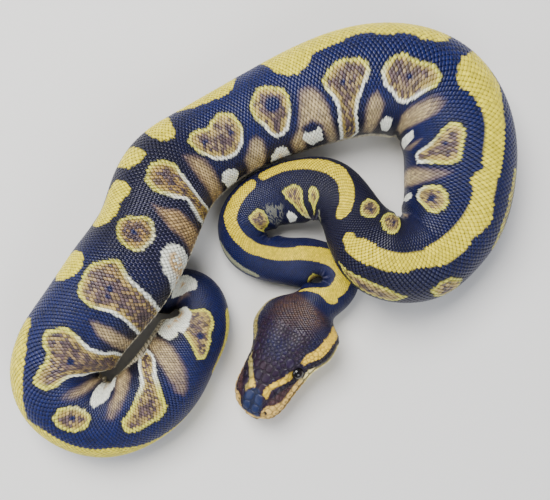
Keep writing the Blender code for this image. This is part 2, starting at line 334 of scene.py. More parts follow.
MOUTH_RISE = [(-5, 0.0), (8, 0.0), (20, 0.8), (34, 0.0), (50, -0.6)]
# The groove of the closed mouth: half width, depth, and where it starts and ends.
MOUTH_GROOVE = 0.42
MOUTH_DEPTH = 0.75
MOUTH_CORNER = 7.5
MOUTH_FRONT = 46.2
# Where the head lies: its own frame has the snout toward +X and its left toward +Y.
HEAD_PLACE = Vector((15.7, -24.3, 11.2)) * MM
HEAD_FRAME = (
    Matrix.Translation(HEAD_PLACE)
    @ Matrix.Rotation(math.radians(-118), 4, "Z")
    @ Matrix.Rotation(math.radians(-1.5), 4, "Y")
    @ Matrix.Rotation(math.radians(24), 4, "X")
)


def head_to_world(points):
    """Points in mm in the head's own frame (snout +X, left +Y) as metres in the world."""
    turn = np.array(HEAD_FRAME)
    return (points * MM) @ turn[:3, :3].T + turn[:3, 3]


def head_sections(places, angles):
    """Rings of the head in its own frame, in mm. Angles run from the crown to the right."""
    inside = np.clip(places, 0.0, HEAD_LENGTH)
    half, top, under, shift = smooth_rows(HEAD_SECTIONS, inside).T[:, :, None]
    cap = np.sqrt(np.clip(1 - ((places - inside) / SNOUT_CAP) ** 2, 0.0, 1.0))
    cap = np.where(places > HEAD_LENGTH, cap, 1.0)[:, None]
    lips = MOUTH_LINE + 0.2 * (top + under)
    across, up = -np.sin(angles)[None], np.cos(angles)[None]
    taper = 1 - CROWN_TAPER * np.maximum(up, 0.0)
    sideways = half * taper * power(across, 2 / HEAD_SIDE_ROUNDING) * cap
    reach = np.where(up > 0, top - lips, lips - under)
    z = lips + reach * power(up, 2 / HEAD_BACK_ROUNDING) * cap
    slant = NAPE_SLANT * np.maximum(0.0, 1 - inside / NAPE_REACH)[:, None]
    return np.stack([places[:, None] + slant * sideways, shift + sideways, z + 0 * sideways], axis=-1)


def bump(points, centre, spread):
    """1 at the centre, fading smoothly to 0 with distance, on both sides of the head."""
    mirrored = points * [1, 0, 1] + np.abs(points) * [0, 1, 0]
    apart = (mirrored - np.array(centre, float)) / np.array(spread, float)
    return np.exp(-np.sum(apart**2, axis=-1))


def mouth_height(at):
    """Height of the mouth line in the head's frame, which rises a little at the jaw's hinge."""
    return MOUTH_LINE + along_table(MOUTH_RISE, at)


def head_relief(points):
    """How far, in mm, the living head stands out of its plain sections."""
    at, y, z = points[..., 0], np.abs(points[..., 1]), points[..., 2]
    out = sum(height * bump(points, middle, spread) for height, middle, spread in HEAD_SWELLINGS)
    from_line = (z - mouth_height(at)) / MOUTH_GROOVE
    past_corner = softly((at - MOUTH_CORNER) / 2.5)
    in_front = past_corner * softly((y - 0.8) / 1.5 + (at - 40) / 4)
    mouth = np.maximum(in_front, past_corner * (y > 3)) * softly((MOUTH_FRONT - at) / 1.2)
    return out - MOUTH_DEPTH * np.exp(-from_line * from_line) * mouth


# ---------------------------------------------------------------- the whole animal's surface
# Head and body joined in one sheet. A place on it is (along, share): along is the distance
# behind the nape in mm, below 0 on the head, and share is the part of the girth from the
# midline of the back, from -0.5 to 0.5, plus on the animal's right.

# The two are blended over this length to either side of the nape.
HEAD_JOIN = 4.0
HEAD_STEP = 0.3
BODY_STEP = 0.5
# How far the midline of the back lies from the tops of the head's sections, in mm.
HEAD_LEAN = [(22, 0.0), (25, -0.1), (30, -0.6), (35, -1.0), (47, -1.0)]
RING_ANGLES = np.linspace(-math.pi, math.pi, 721)

head_along = np.arange(-(HEAD_LENGTH + SNOUT_CAP), HEAD_JOIN + 0.01, HEAD_STEP)
head_lean = along_table(HEAD_LEAN, -head_along)
head_rings = by_girth(head_sections(-head_along, RING_ANGLES), RING_ANGLES, head_lean)
nape = np.argmin(np.abs(head_along))
slope = (head_rings[nape] - head_rings[nape - 8]) / (head_along[nape] - head_along[nape - 8])
for i in range(nape + 1, len(head_along)):
    head_rings[i] = head_rings[nape] + slope * (head_along[i] - head_along[nape])

body_along = np.concatenate(
    [np.arange(-HEAD_JOIN, 0.0, HEAD_STEP), np.arange(0.0, BODY_LENGTH / MM, BODY_STEP)]
)
body_rings = by_girth(
    body_sections(np.clip(body_along, 0, None) * MM, RING_ANGLES),
    RING_ANGLES,
    along_table(SPINE_LEAN, body_along) * MM,
)
first = np.argmin(np.abs(body_along))
slope = (body_rings[first + 6] - body_rings[first]) / (body_along[first + 6] - body_along[first])
for i in range(first):
    body_rings[i] = body_rings[first] + slope * (body_along[i] - body_along[first])
tail_left = BODY_LENGTH / MM - body_along
tip = np.sqrt(np.clip(1 - (1 - tail_left / (TAIL_TIP / MM)) ** 2, 0, 1))
tip = np.where(tail_left > TAIL_TIP / MM, 1.0, tip)[:, None, None]
tail_middle = body_rings.mean(axis=1, keepdims=True) * [1, 1, 0.6]
body_rings = tail_middle + (body_rings - tail_middle) * tip


def at_along(rings, along, wanted):
    """Rings interpolated at other distances behind the nape."""
    row = np.clip(np.searchsorted(along, wanted, side="right") - 1, 0, len(along) - 2)
    part = ((wanted - along[row]) / (along[row + 1] - along[row]))[:, None, None]
    return rings[row] * (1 - part) + rings[row + 1] * part


surface_along = np.concatenate([head_along[head_along < -HEAD_JOIN], body_along])
# The head's part is kept in its own frame too, in mm, for its plates and its mouth.
on_head = at_along(head_rings, head_along, np.clip(surface_along, None, HEAD_JOIN))
on_body = at_along(body_rings, body_along, np.clip(surface_along, -HEAD_JOIN, None))
share_of_body = softly((surface_along + HEAD_JOIN) / (2 * HEAD_JOIN))[:, None, None]
surface = head_to_world(on_head) * (1 - share_of_body) + on_body * share_of_body


def outward(points):
    """Unit normals of a sheet of points whose first and last columns are the same."""
    down = np.gradient(points, axis=0)
    wrapped = np.concatenate([points[:, -2:-1], points, points[:, 1:2]], axis=1)
    across = (wrapped[:, 2:] - wrapped[:, :-2]) / 2
    normal = np.cross(down, across)
    return normal / np.maximum(np.linalg.norm(normal, axis=2, keepdims=True), 1e-12)


head_fade = 1 - softly((surface_along + 6) / 6)[:, None]
relief = head_relief(on_head) * head_fade * MM
surface += outward(surface) * relief[:, :, None]
normals = outward(surface)
girth_legs = np.linalg.norm(np.diff(surface, axis=1), axis=2)
girths = girth_legs.sum(axis=1) / MM


def on_surface(along, share, table):
    """Values of a table over the animal's surface, at any places on it."""
    row = np.interp(along, surface_along, np.arange(len(surface_along)))
    column = (np.asarray(share) + 0.5) % 1.0 * COLUMNS
    i = np.clip(row.astype(int), 0, len(surface_along) - 2)
    j = np.clip(column.astype(int), 0, COLUMNS - 1)
    down, over = (row - i)[..., None], (column - j)[..., None]
    near = table[i, j] * (1 - over) + table[i, j + 1] * over
    far = table[i + 1, j] * (1 - over) + table[i + 1, j + 1] * over
    return near * (1 - down) + far * down


def girth_at(along):
    return np.interp(along, surface_along, girths)


# ---------------------------------------------------------------- the markings
# Dark blue-black ground, its blue a painted sky reflection on the back, a broken yellow stripe down the
# spine, and tan blotches on the flanks with a pale border that is yellow toward the spine and white
# toward the belly.


def paint(red, green, blue):
    """A colour given as screen values from 0 to 255, as linear light."""
    value = np.array([red, green, blue]) / 255
    return np.where(value <= 0.04045, value / 12.92, ((value + 0.055) / 1.055) ** 2.4)


# Dark ground with a painted blue sky reflection, as the back shows it.
BACK_BLUE_SHEEN = paint(14, 26, 84)
FLANK_BLACK = paint(16, 13, 30)
GROUND_DARK = paint(12, 13, 32)
STRIPE_YELLOW = paint(224, 208, 44)
NECK_YELLOW = paint(224, 198, 34)
BORDER_YELLOW = paint(212, 206, 80)
BORDER_WHITE = paint(250, 252, 238)
BLOTCH_GOLD = paint(182, 158, 82)
BLOTCH_TAN = paint(142, 122, 92)
BLOTCH_AMBER = paint(150, 112, 52)
BLOTCH_PURPLE = paint(94, 76, 76)
BLOTCH_DARK = paint(56, 44, 56)
LINE_GREY = paint(164, 166, 132)
PATCH_PEACH = paint(222, 186, 130)
SMUDGE_GOLD = paint(176, 156, 116)
SMUDGE_AMBER = paint(178, 142, 92)
SMUDGE_PURPLE = paint(84, 62, 84)
BELLY_CREAM = paint(226, 216, 186)
NET_PALE = paint(122, 120, 148)
# How far the ground turns from the painted blue sky reflection to near black, along the body.
BLACK_ALONG = [
    (0, 0.45), (25, 0.35), (50, 0.2), (70, 0.5), (88, 0.85), (125, 0.8), (150, 0.35), (200, 0.1),
    (290, 0.1), (310, 0.85), (345, 0.8), (362, 0.3), (400, 0.05), (460, 0.1), (500, 0.4),
]
# How far the tan of the blotches turns to amber.
AMBER_ALONG = [(296, 0.0), (312, 0.6), (350, 0.7), (362, 0.2), (470, 0.1)]

# A mark is an outline of points, each the distance behind the nape and the distance from the
# spine round the body, plus on the animal's right, in mm. A mark with a third number in each
# point is a chain of round brush touches, and that number is the radius.
STRIPES = [
    [(0.3, 7.2, 0.4), (3, 4.2, 0.9), (6, 1, 2.2), (5.6, -3.4, 2.1)],
    [(6.8, 0, 2.8), (9, -0.8, 3.0), (14, 0.6, 3.2), (20, 0.2, 3.2), (30, 0, 2.6), (38, 0.2, 2.4),
     (45, 0.3, 2.3), (52, 0.2, 2.6), (58, 0, 3.0), (63, -0.6, 2.9), (66, -1, 2.7)],
    [(71.5, -0.6, 2.4), (76, -0.2, 2.6), (80, 0.3, 2.8), (86, 0, 3.1), (93, 0.8, 3.6), (98, 0, 3.8),
     (101.5, -0.3, 3.8), (103.6, -0.8, 3.3)],
    [(112.8, -1.0, 2.4), (116.5, -0.8, 4.1), (125, -0.4, 3.5), (130, -0.2, 3.4), (134, 0.3, 2.6),
     (140, 0.2, 4.4), (145, -0.1, 4.8), (151, 0.5, 4.0), (157, -0.4, 5.3), (163, 0.4, 3.8), (167, 1.0, 5.0),
     (171, -1.1, 3.5), (178, -0.4, 4.1), (188, -0.8, 4.5), (192, -0.9, 5.2)],
    [(205, 0), (205.2, 4), (204.6, 7), (203, 9.8), (201, 10), (199, 8.8), (197, 6.5), (194, 5), (190, 4.2),
     (186, 3), (186, -5), (190, -6.5), (193, -8.6), (196, -11.3), (200, -12), (203, -12), (204.4, -8)],
    [(213, -2, 4), (216, 0, 7.5), (220, -1, 7), (226, 0, 8), (233, -1, 6.8), (240, -0.5, 8), (250, -1, 8),
     (256.5, 1.5, 10.5), (261, -1, 6), (263, -6, 4.5)],
    [(279.5, -2, 3.5), (283, 0, 6.4), (287, 0, 5.8), (292, -1, 5), (296, -3, 3.5)],
    [(309.5, -8), (304, -8), (302, -2), (302.5, 4), (303.5, 10), (305.5, 11.5), (307.5, 11), (309, 8.5),
     (310, 3)],
    [(320.5, -5), (315.5, -5), (314.5, 0), (314, 6.5), (314.5, 9), (316.5, 9), (318, 8), (320, 5.5)],
    [(344, -3), (336, -4), (328, -3), (324, 1), (324.5, 7.5), (325.5, 10), (327.5, 10), (329.5, 8.5),
     (332, 7.5), (335, 8), (338, 7.5), (341, 6), (344.5, 2)],
    [(371, -5), (363, -6), (358, -1), (357, 4.5), (358, 6.5), (361, 8.5), (363.5, 9), (367, 7.5), (370, 5),
     (372, 1)],
    [(389, -1, 4), (394, 0, 5.8), (400, 0.5, 6.6), (404, 0, 5)],
    [(409, 1, 3.5), (412, 2, 5.5), (417, 0, 7.2), (425, 0, 6.8), (430, -1, 5), (436, -3.5, 4),
     (445, -4.5, 3.5), (455, -3, 3)],
    [(462, 0, 3.4), (470, 0, 4.0), (476, 0, 3.2)],
    [(496, 0, 2.2), (501, 0, 2.2), (507, 0, 1.8)],
    [(513, 0, 1.6), (528, 0, 1.1)],
]

# Blotches with a pale border. The first sixteen are on the right flank, which the coil turns
# inward and upward, and the rest on the left flank and under the coil's outer side.
BLOTCHES = [
    [(25.5, 12), (25, 9.5), (23.5, 8), (21, 9.5), (18, 13), (21, 15), (24.5, 15)],
    [(105.5, 6), (104, 7), (103.5, 10), (105, 13.5), (107.5, 15), (110, 13.5), (111, 11), (110, 8.5),
     (108, 6.5)],
    [(114, 12.5), (112, 14.5), (112, 18), (115, 21.5), (121, 21.5), (125, 18), (126.5, 14), (125, 11),
     (122, 9), (118, 10)],
    [(156, 25), (160.5, 25), (163, 22.5), (163.5, 19.5), (163.5, 16.5), (161.5, 14), (159, 12.5),
     (156, 11.5), (152.5, 12), (150.5, 13), (149.5, 15.5), (151, 19), (152.5, 22.5)],
    [(177, 30), (179, 29.5), (180.5, 26.5), (182.5, 23.5), (186, 21), (188.5, 18.5), (189.5, 16), (189, 14),
     (187, 12), (184, 11), (180.5, 11.5), (177, 11.5), (174, 11.5), (173, 12.5), (172, 15.5), (172.5, 19.5),
     (173, 24), (173.5, 28)],
    [(228, 24.5), (227.5, 22), (226, 20), (224.5, 18), (222.5, 16.5), (220, 16), (217.5, 17), (215, 17.5),
     (212, 16.5), (209, 15.5), (206.5, 15.5), (205.5, 17.5), (206, 20.5), (208, 24.5), (211, 30), (214, 33),
     (217.5, 34), (220.5, 33.5), (222, 32), (224.5, 30), (227, 28.5)],
    [(250, 19), (248, 17.5), (245, 15.5), (241.5, 15), (237.5, 16), (235, 17), (233, 19), (232, 22),
     (233.5, 25), (235.5, 28), (238.5, 31.5), (240, 35.5), (240, 40), (240, 47), (243, 52), (248, 52),
     (248.5, 39), (248, 33.5), (247.5, 29.5), (248.5, 25.5), (250, 21.5)],
    [(277, 15.5), (274.5, 12.5), (272, 10.5), (269, 11), (266.5, 12.5), (263.5, 15), (263, 18), (263.5, 21),
     (265, 25), (267.5, 29), (270, 30.5), (272.5, 31), (275, 28), (275.5, 24.5), (277.5, 21), (277.5, 18)],
    [(302.5, 16), (300.5, 14), (298.5, 14), (296, 14.5), (294, 15.5), (291, 13.5), (288, 12.5),
     (285.5, 13.5), (283.5, 16), (283, 19), (283, 22.5), (285.5, 26.5), (288, 28.5), (290.5, 29.5),
     (294, 29), (298, 27), (300, 24.5), (302, 21)],
    [(321.5, 13.5), (318.5, 13), (316, 13), (314, 14.5), (312.5, 16.5), (311.5, 20), (312.5, 23.5),
     (314, 28), (316.5, 32.5), (319.5, 38), (321, 46), (322, 56), (330, 56), (329.5, 46), (328.5, 39),
     (326, 34.5), (323, 30.5), (324, 26.5), (324.5, 21.5), (324, 17.5)],
    [(342, 11), (339, 10), (337, 11), (335.5, 13.5), (334.5, 16), (334, 19), (334.5, 21), (337, 23.5),
     (340, 24.5), (342.5, 24), (345, 23), (346.5, 21), (346.5, 17.5), (345.5, 14.5), (344, 12.5)],
    [(369, 13.5), (366, 12), (362.5, 11), (359.5, 10.5), (356.5, 12), (354.5, 14), (352.5, 16),
     (351.5, 18.5), (353, 21), (354.5, 24.5), (355, 29.5), (356, 36), (357, 44), (358, 54), (368, 54),
     (367.5, 44), (366.5, 34.5), (366.5, 30.5), (367, 27), (369, 23), (370, 20.5), (370.5, 18),
     (370, 15.5)],
    [(388, 10.5), (386, 11), (384, 13.5), (381.5, 16), (381, 20.5), (381.5, 24), (382, 27.5), (381, 31),
     (380, 34), (377.5, 38), (377, 46), (382, 52), (388, 50), (392, 43), (397.5, 36.5), (400, 31),
     (400, 27), (400.5, 24), (402.5, 21.5), (403.5, 19.5), (403.5, 16.5), (402, 13.5), (400.5, 11.5),
     (399, 12), (397, 13), (394.5, 14.5), (392, 14), (390.5, 12)],
    [(410.5, 14), (410, 16.5), (410, 19), (411.5, 21), (414, 22.5), (417, 22), (419.5, 20.5), (420.5, 19),
     (420, 16.5), (419, 14.5), (417, 13), (415, 12.5), (413, 12.5)],
    [(457, 36), (456.5, 31.5), (455, 29.5), (453, 28.5), (450.5, 26), (448.5, 22), (446.5, 18.5),
     (445.5, 15.5), (444.5, 13), (442, 11), (440, 10), (437.5, 10.5), (434.5, 10.5), (432, 11), (430.5, 12),
     (430, 14.5), (430.5, 16.5), (432.5, 17.5), (435, 19), (438, 21), (441.5, 23.5), (444.5, 26.5),
     (446.5, 30), (448.5, 33.5), (452, 38)],
    [(473, 27), (480.5, 24.5), (483, 19.5), (481, 18), (478.5, 17), (478.5, 14.5), (478.5, 12),
     (477.5, 10.5), (476, 10), (474.5, 10), (471.5, 11.5), (468.5, 11.5), (466, 11), (463.5, 12),
     (462.5, 14.5), (464, 16), (466, 18.5), (467.5, 20.5), (468.5, 22.5), (468.5, 24.5), (466.5, 24.5),
     (464, 26.5), (463.5, 29.5), (464.5, 34), (469, 33)],
    [(59, -8), (61, -9), (63.5, -10), (64.5, -12.5), (63.5, -15), (61, -16.5), (57, -16.5), (53, -13),
     (54, -9.5), (56.5, -8.5)],
    [(75, -10.5), (77, -9.5), (79.5, -9), (81.5, -9.5), (82.5, -11.5), (82.5, -15.5), (83.5, -18.5),
     (87, -26), (83.5, -23), (81, -20), (79, -17), (76, -13.5)],
    [(85, -13), (85, -11), (86.5, -9.5), (88.5, -10.5), (89.5, -12.5), (88.5, -16), (88.5, -22),
     (86.5, -17), (85, -15)],
    [(115.5, -12), (119, -11.5), (121.5, -10.5), (124, -10.5), (127, -11.5), (130.5, -15), (128.5, -20),
     (122, -19), (118, -15.5)],
    [(135.5, -13), (137.5, -10.5), (140, -10.5), (142.5, -15.5), (141, -22), (137, -21)],
    [(154, -18, 1.8), (159, -14.4, 1.9), (165, -14.6, 2.0), (173, -15, 1.8)],
    [(196, -22, 5.6), (197, -33, 3.4)],
    [(219, -21, 6.0), (222, -28, 5.4)],
    [(240, -20, 5.0), (248, -21, 5.4), (244, -36, 3.0)],
    [(272, -20, 6.2)],
    [(296, -21, 6.0), (292, -34, 3.0)],
    [(322, -20, 5.6), (326, -25, 5.6)],
    [(349, -21, 6.6), (350, -36, 3.2)],
    [(378, -20, 5.6), (384, -23, 6.0)],
    [(408, -20, 5.2), (410, -31, 3.0)],
    [(432, -19, 5.0)],
    [(456, -15, 4.4), (458, -24, 2.6)],
    [(480, -12, 3.4)],
]
# Dark spots in the middle of the blotches.
BLOTCH_SPOTS = [
    (156.5, 18, 1.4), (269.5, 18.5, 2.9), (217, 24, 1.3), (243, 23, 1.1), (297.5, 19.5, 1.0),
    (287.5, 21, 0.9), (340.5, 17, 1.1), (361, 21.5, 1.2), (363.5, 22.5, 0.9), (392, 23, 1.5),
    (415, 18, 1.1), (181, 18, 0.9), (470, 16, 1.2), (119.5, 15, 0.8), (107.5, 10.5, 0.6), (197, -23, 1.4),
    (245, -21, 1.3), (323, -21, 1.4), (380, -21, 1.4),
]
# White patches low on the flanks, where the belly's colour reaches up between the blotches.
WHITE_PATCHES = [
    [(490.5, 4), (487.5, 3), (484.8, 5.5), (483.8, 9), (487, 12), (491, 12)],
    [(346, 31), (343, 29), (340.5, 29.5), (339, 31), (338.5, 34.5), (339.5, 39), (341, 44), (344, 50),
     (352, 54), (352, 46), (349, 38.5), (348, 34.5)],
    [(418.5, 24), (417, 26.5), (416.5, 29.5), (416.5, 33), (418, 40), (428, 42), (435.5, 35), (433, 30.5),
     (429.5, 28.5), (428.5, 26.5), (425, 24.5), (422, 24), (420.5, 23)],
    [(473, 30), (480.5, 27), (484, 20), (481, 17.5), (477, 17.5), (472, 20.5), (468.5, 22.5), (468.5, 24.5),
     (464, 26.5), (463.5, 29.5), (464.5, 36), (469, 36)],
    [(278.5, 48), (277.5, 38.5), (275, 35.5), (272.5, 35.5), (270.5, 37), (270, 41), (268, 50)],
    [(300.5, 36), (298.5, 33), (296, 33), (293.5, 34.5), (292.5, 37.5), (294.5, 42), (296.5, 47),
     (300, 47)],
    [(263.5, 35), (262, 33.5), (260, 35), (258, 34.5), (256, 34.5), (255.5, 37), (255.5, 42), (258, 42),
     (259.5, 44), (261.5, 41), (263, 38)],
    [(228, 44), (226.5, 41.5), (224.5, 40), (220.5, 41.5), (220.5, 44), (221.5, 49), (226, 49)],
    [(197, 42), (197, 36.5), (196, 32), (191.5, 31.5), (189, 33), (187.5, 36), (185.5, 42), (191.5, 44)],
    [(152.5, 38), (156.5, 34), (158.5, 29), (154, 27), (150, 29)],
    [(74.5, -20), (76, -18.5), (78, -20), (80, -22.5), (78.5, -25.5), (76, -26)],
]
# The upper edges of the pale underside, where it shows beside the neck.
PALE_LINES = [
    [(42.5, 11.6, 1.2), (47.5, 10.4, 1.4), (52, 11, 1.2)],
    [(92, -17.2, 0.5), (97.5, -17.2, 0.7), (103, -16.6, 0.7), (108, -15, 0.7), (114, -15.4, 0.7)],
]
# Stretched skin on the inside of the neck's bend, with pale flecks.
WRINKLED_PALE = [
    (62, -13.5), (66, -9.5), (71, -12), (75.5, -14), (74, -19), (71, -24), (64, -24), (60.5, -18),
]
# Soft brown patches without a border, between the blotches.
SMUDGES = [
    [(329, 19), (329, 24), (328, 29), (330, 34.5), (332, 42.5), (333, 56), (342, 56), (339, 42),
     (336.5, 34.5), (335, 28), (332, 23)],
    [(307, 19), (303.5, 21.5), (301.5, 25), (301, 30), (302, 36), (304, 48), (315, 50), (310, 35.5),
     (309, 29.5), (308, 23.5)],
    [(282.5, 27), (280, 26.5), (278, 29), (278.5, 33.5), (280.5, 40), (283.5, 50), (290, 46), (288.5, 39),
     (288, 33)],
    [(259, 18), (256, 18), (253, 20), (251.5, 24), (250.5, 29), (250.5, 34), (250, 40), (249, 54),
     (253, 52), (255, 34), (258, 30.5), (262.5, 31), (262.5, 37.5), (263, 50), (268, 48), (268.5, 35),
     (264, 30.5), (261.5, 24.5)],
    [(238, 48), (236, 36), (233.5, 32), (230, 30.5), (226.5, 35), (228.5, 42), (233, 52)],
    [(214, 48), (215, 38.5), (210.5, 32.5), (206, 26), (203, 20), (198.5, 15.5), (196, 20), (196.5, 25.5),
     (199, 32), (206, 48)],
    [(172, 42), (172.5, 30.5), (171, 24), (170.5, 17.5), (169.5, 13), (167, 17), (165, 22.5), (163, 29),
     (164, 42)],
    [(374, 23), (372.5, 25.5), (371, 30.5), (370.5, 35.5), (370, 52), (375, 52), (376, 40.5), (376.5, 33),
     (376.5, 28)],
    [(408, 21), (407.5, 24.5), (408, 28.5), (408, 38), (408, 50), (414, 50), (415, 36), (414, 29.5),
     (412.5, 26.5)],
    [(436, 44), (442.5, 44), (444, 36), (443, 31), (439, 26), (434.5, 23), (430.5, 19.5), (427.5, 17.5),
     (425.5, 18.5), (427.5, 23.5), (432, 27.5), (435, 34)],
    [(457.5, 36), (462, 36), (463, 28.5), (462.5, 25), (460.5, 21), (457.5, 17), (453.5, 14.5), (450, 13),
     (449.5, 16.5), (452, 22.5), (454.5, 27)],
    [(182, 34), (184, 30), (186.5, 28), (185, 40)],
    [(130, 22), (136, 19), (142, 22), (138, 30)],
    [(487, 8), (484, 12), (488, 16)],
    [(209, -26, 2.5), (209, -42, 4)],
    [(258, -26, 2.5), (260, -42, 4)],
    [(309, -24, 2.5), (309, -42, 4)],
    [(336, -26, 2.5), (337, -42, 4)],
    [(394, -25, 2.5), (396, -38, 4)],
    [(421, -22, 2), (422, -32, 3)],
]
# Width of a blotch's border along the body, in mm.
BORDER_WIDTHS = [
    (0, 0.6), (60, 0.7), (95, 0.9), (150, 1.1), (200, 1.25), (300, 1.0), (350, 1.1), (440, 1.3), (480, 1.0),
]


FAR_AWAY = 1e3


def brush_distance(along, round_body, touches):
    """Distance from a chain of brush touches, in mm, below 0 inside it."""
    best = np.full(np.shape(along), FAR_AWAY)
    chain = touches if len(touches) > 1 else touches * 2
    for (u1, v1, r1), (u2, v2, r2) in zip(chain, chain[1:]):
        du, dv = u2 - u1, v2 - v1
        part = ((along - u1) * du + (round_body - v1) * dv) / max(du * du + dv * dv, 1e-9)
        part = np.clip(part, 0, 1)
        away = np.hypot(along - u1 - part * du, round_body - v1 - part * dv)
        best = np.minimum(best, away - r1 - part * (r2 - r1))
    return best


def outline_distance(along, round_body, outline):
    """Distance from a closed outline, in mm, below 0 inside it."""
    inside = np.zeros(np.shape(along), bool)
    best = np.full(np.shape(along), FAR_AWAY)
    for (u1, v1), (u2, v2) in zip(outline, outline[1:] + outline[:1]):
        du, dv = u2 - u1, v2 - v1
        part = np.clip(((along - u1) * du + (round_body - v1) * dv) / (du * du + dv * dv), 0, 1)
        best = np.minimum(best, np.hypot(along - u1 - part * du, round_body - v1 - part * dv))
        if dv:
            beyond = (v1 > round_body) != (v2 > round_body)
            inside ^= beyond & (along < u1 + (round_body - v1) * du / dv)
    return np.where(inside, -best, best)


MARK_MARGIN = 12


def mark_distance(along, round_body, marks):
    """Distance from the nearest of several marks, each an outline or a chain of touches.

    The body's length is stretched on the outside of a bend and squeezed on its inside, so
    lengths are scaled by how far apart two places there really are.
    """
    best = np.full(np.shape(along), FAR_AWAY)
    for mark in marks:
        rows = np.array([point[0] for point in mark])
        near = (along > rows.min() - MARK_MARGIN) & (along < rows.max() + MARK_MARGIN)
        if not near.any():
            continue
        middle = rows.mean()
        share = np.full(2, np.mean([point[1] for point in mark]) / girth_at(middle))
        reach = on_surface(middle + np.array([-1.5, 1.5]), share, surface)
        stretch = np.clip(np.linalg.norm(reach[1] - reach[0]) / MM / 3.0, 0.45, 1.6)
        scaled = [(point[0] * stretch, *point[1:]) for point in mark]
        measure = outline_distance if len(mark[0]) == 2 else brush_distance
        best[near] = np.minimum(best[near], measure(along[near] * stretch, round_body[near], scaled))
    return best


def blend(under, over, amount):
    """Colour over laid on colour under, by an amount from 0 to 1 at each place."""
    amount = np.clip(amount, 0, 1)[..., None]
    return under * (1 - amount) + over * amount


def body_colour(along, round_body, chance):
    """The colour of the body at places on it. chance is three random numbers for each place."""
    side = np.abs(round_body)
    low = side / np.maximum(girth_at(along), 1.0)
    colour = np.empty(np.shape(along) + (3,))
    # The painted blue sky reflection on the back gives way to near black down the flanks.
    colour[:] = BACK_BLUE_SHEEN
    black = np.maximum(softly((low - 0.2) / 0.2), along_table(BLACK_ALONG, along))
    colour = blend(colour, FLANK_BLACK, black)
    colour = blend(colour, GROUND_DARK, 0.5 * chance[..., 0] ** 2)

    # Smudges, brown over a purple rim, and fainter toward the back.
    smudge = -mark_distance(along, round_body, SMUDGES)
    colour = blend(colour, SMUDGE_PURPLE, softly(smudge / 2.2 + 0.45) * (0.3 + 0.7 * chance[..., 1]))
    pepper = 0.74 + 0.44 * chance[..., 2:3]
    among = 0.7 + 0.3 * softly(chance[..., 1] / 0.4)
    fade = 0.4 + 0.6 * softly((side - 17) / 9)
    amber = along_table(AMBER_ALONG, along)
    smudge_paint = blend(SMUDGE_GOLD, SMUDGE_AMBER, amber) * pepper
    colour = blend(colour, smudge_paint, softly((smudge + 0.8) / 2.8) * among * fade)

    # Blotches: gold by the border, tan inside it, with single scales of purple and black.
    depth = -mark_distance(along, round_body, BLOTCHES)
    colour = blend(colour, GROUND_DARK, 0.6 * softly((depth + 1.8) / 1.8))
    width = along_table(BORDER_WIDTHS, along)
    deep = softly((depth - width) / 3.5)
    fill = blend(BLOTCH_GOLD, BLOTCH_TAN, deep)
    fill = blend(fill, BLOTCH_AMBER, amber * (0.4 + 0.6 * deep))
    purple = softly((chance[..., 1] - 0.72 + 0.34 * deep) / 0.2) * (along > 40)
    fill = blend(fill, BLOTCH_PURPLE, purple) * pepper
    fill = blend(fill, BLOTCH_DARK, 0.8 * softly((chance[..., 0] - 0.86 + 0.16 * deep) / 0.1))
    border = blend(BORDER_YELLOW, BORDER_WHITE, softly((side - 19) / 9))
    fill = blend(fill, border, softly((width - depth) / 0.7 + 0.5))
    colour = blend(colour, fill, depth > 0)
    spots = mark_distance(along, round_body, [[spot] for spot in BLOTCH_SPOTS])
    colour = blend(colour, BACK_BLUE_SHEEN * 0.7, softly(0.5 - spots / 0.8))

    # White patches, the pale edges by the neck, and the stripe over all of them.
    white = -mark_distance(along, round_body, WHITE_PATCHES)
    inner = softly((white - 2.4) / 1.6) * softly(chance[..., 1] * 1.6)
    colour = blend(colour, blend(BORDER_WHITE, PATCH_PEACH, inner), white > 0)
    wrinkled = -outline_distance(along, round_body, WRINKLED_PALE)
    colour = blend(colour, BORDER_WHITE * 0.16, softly(wrinkled / 2.5) * (chance[..., 1] > 0.45))
    edge = mark_distance(along, round_body, PALE_LINES)
    colour = blend(colour, LINE_GREY, (edge < 0) * 0.85)
    stripe = mark_distance(along, round_body, STRIPES)
    yellow = blend(NECK_YELLOW, STRIPE_YELLOW, softly((along - 60) / 120))
    colour = blend(colour, yellow * (0.88 + 0.2 * chance[..., 2:3]), stripe < 0)
    belly = softly((low - 0.405 - 0.02 * chance[..., 0]) / 0.02)
    return blend(colour, BELLY_CREAM, belly)


def net_amount(along, round_body):
    """How far the scales are spread, so that the pale skin between them shows."""
    side = np.abs(round_body)
    flank = softly((side - 6) / 8)
    spread = 0.40 * softly((along - 190) / 60) * softly((side - 16) / 10)
    for middle, reach, most, where_spread in (
        (334, 26, 1.0, flank),
        (84, 24, 0.55, 1.0),
        (125, 25, 0.45, flank),
        (28, 24, 0.60, 1.0),
    ):
        spread = spread + most * np.exp(-(((along - middle) / reach) ** 2)) * where_spread
    return np.clip(spread, 0.0, 1.0)


HEAD_PURPLE = paint(42, 25, 38)
HEAD_BROWN = paint(76, 54, 44)
HEAD_NAVY = paint(20, 22, 62)
HEAD_DARK = paint(26, 18, 34)
HEAD_YELLOW = paint(230, 190, 56)
LIP_GOLD = paint(216, 178, 96)
# Cream of the lips behind the eye, made brighter than their own cream: a painted highlight.
LIP_CREAM_HIGHLIT = paint(255, 238, 160)
# The yellow of the head's lines in painted shade, olive.
HEAD_YELLOW_IN_SHADE = paint(158, 146, 84)
LOREAL_BROWN = paint(68, 44, 48)
NASAL_BLUE = paint(30, 39, 72)
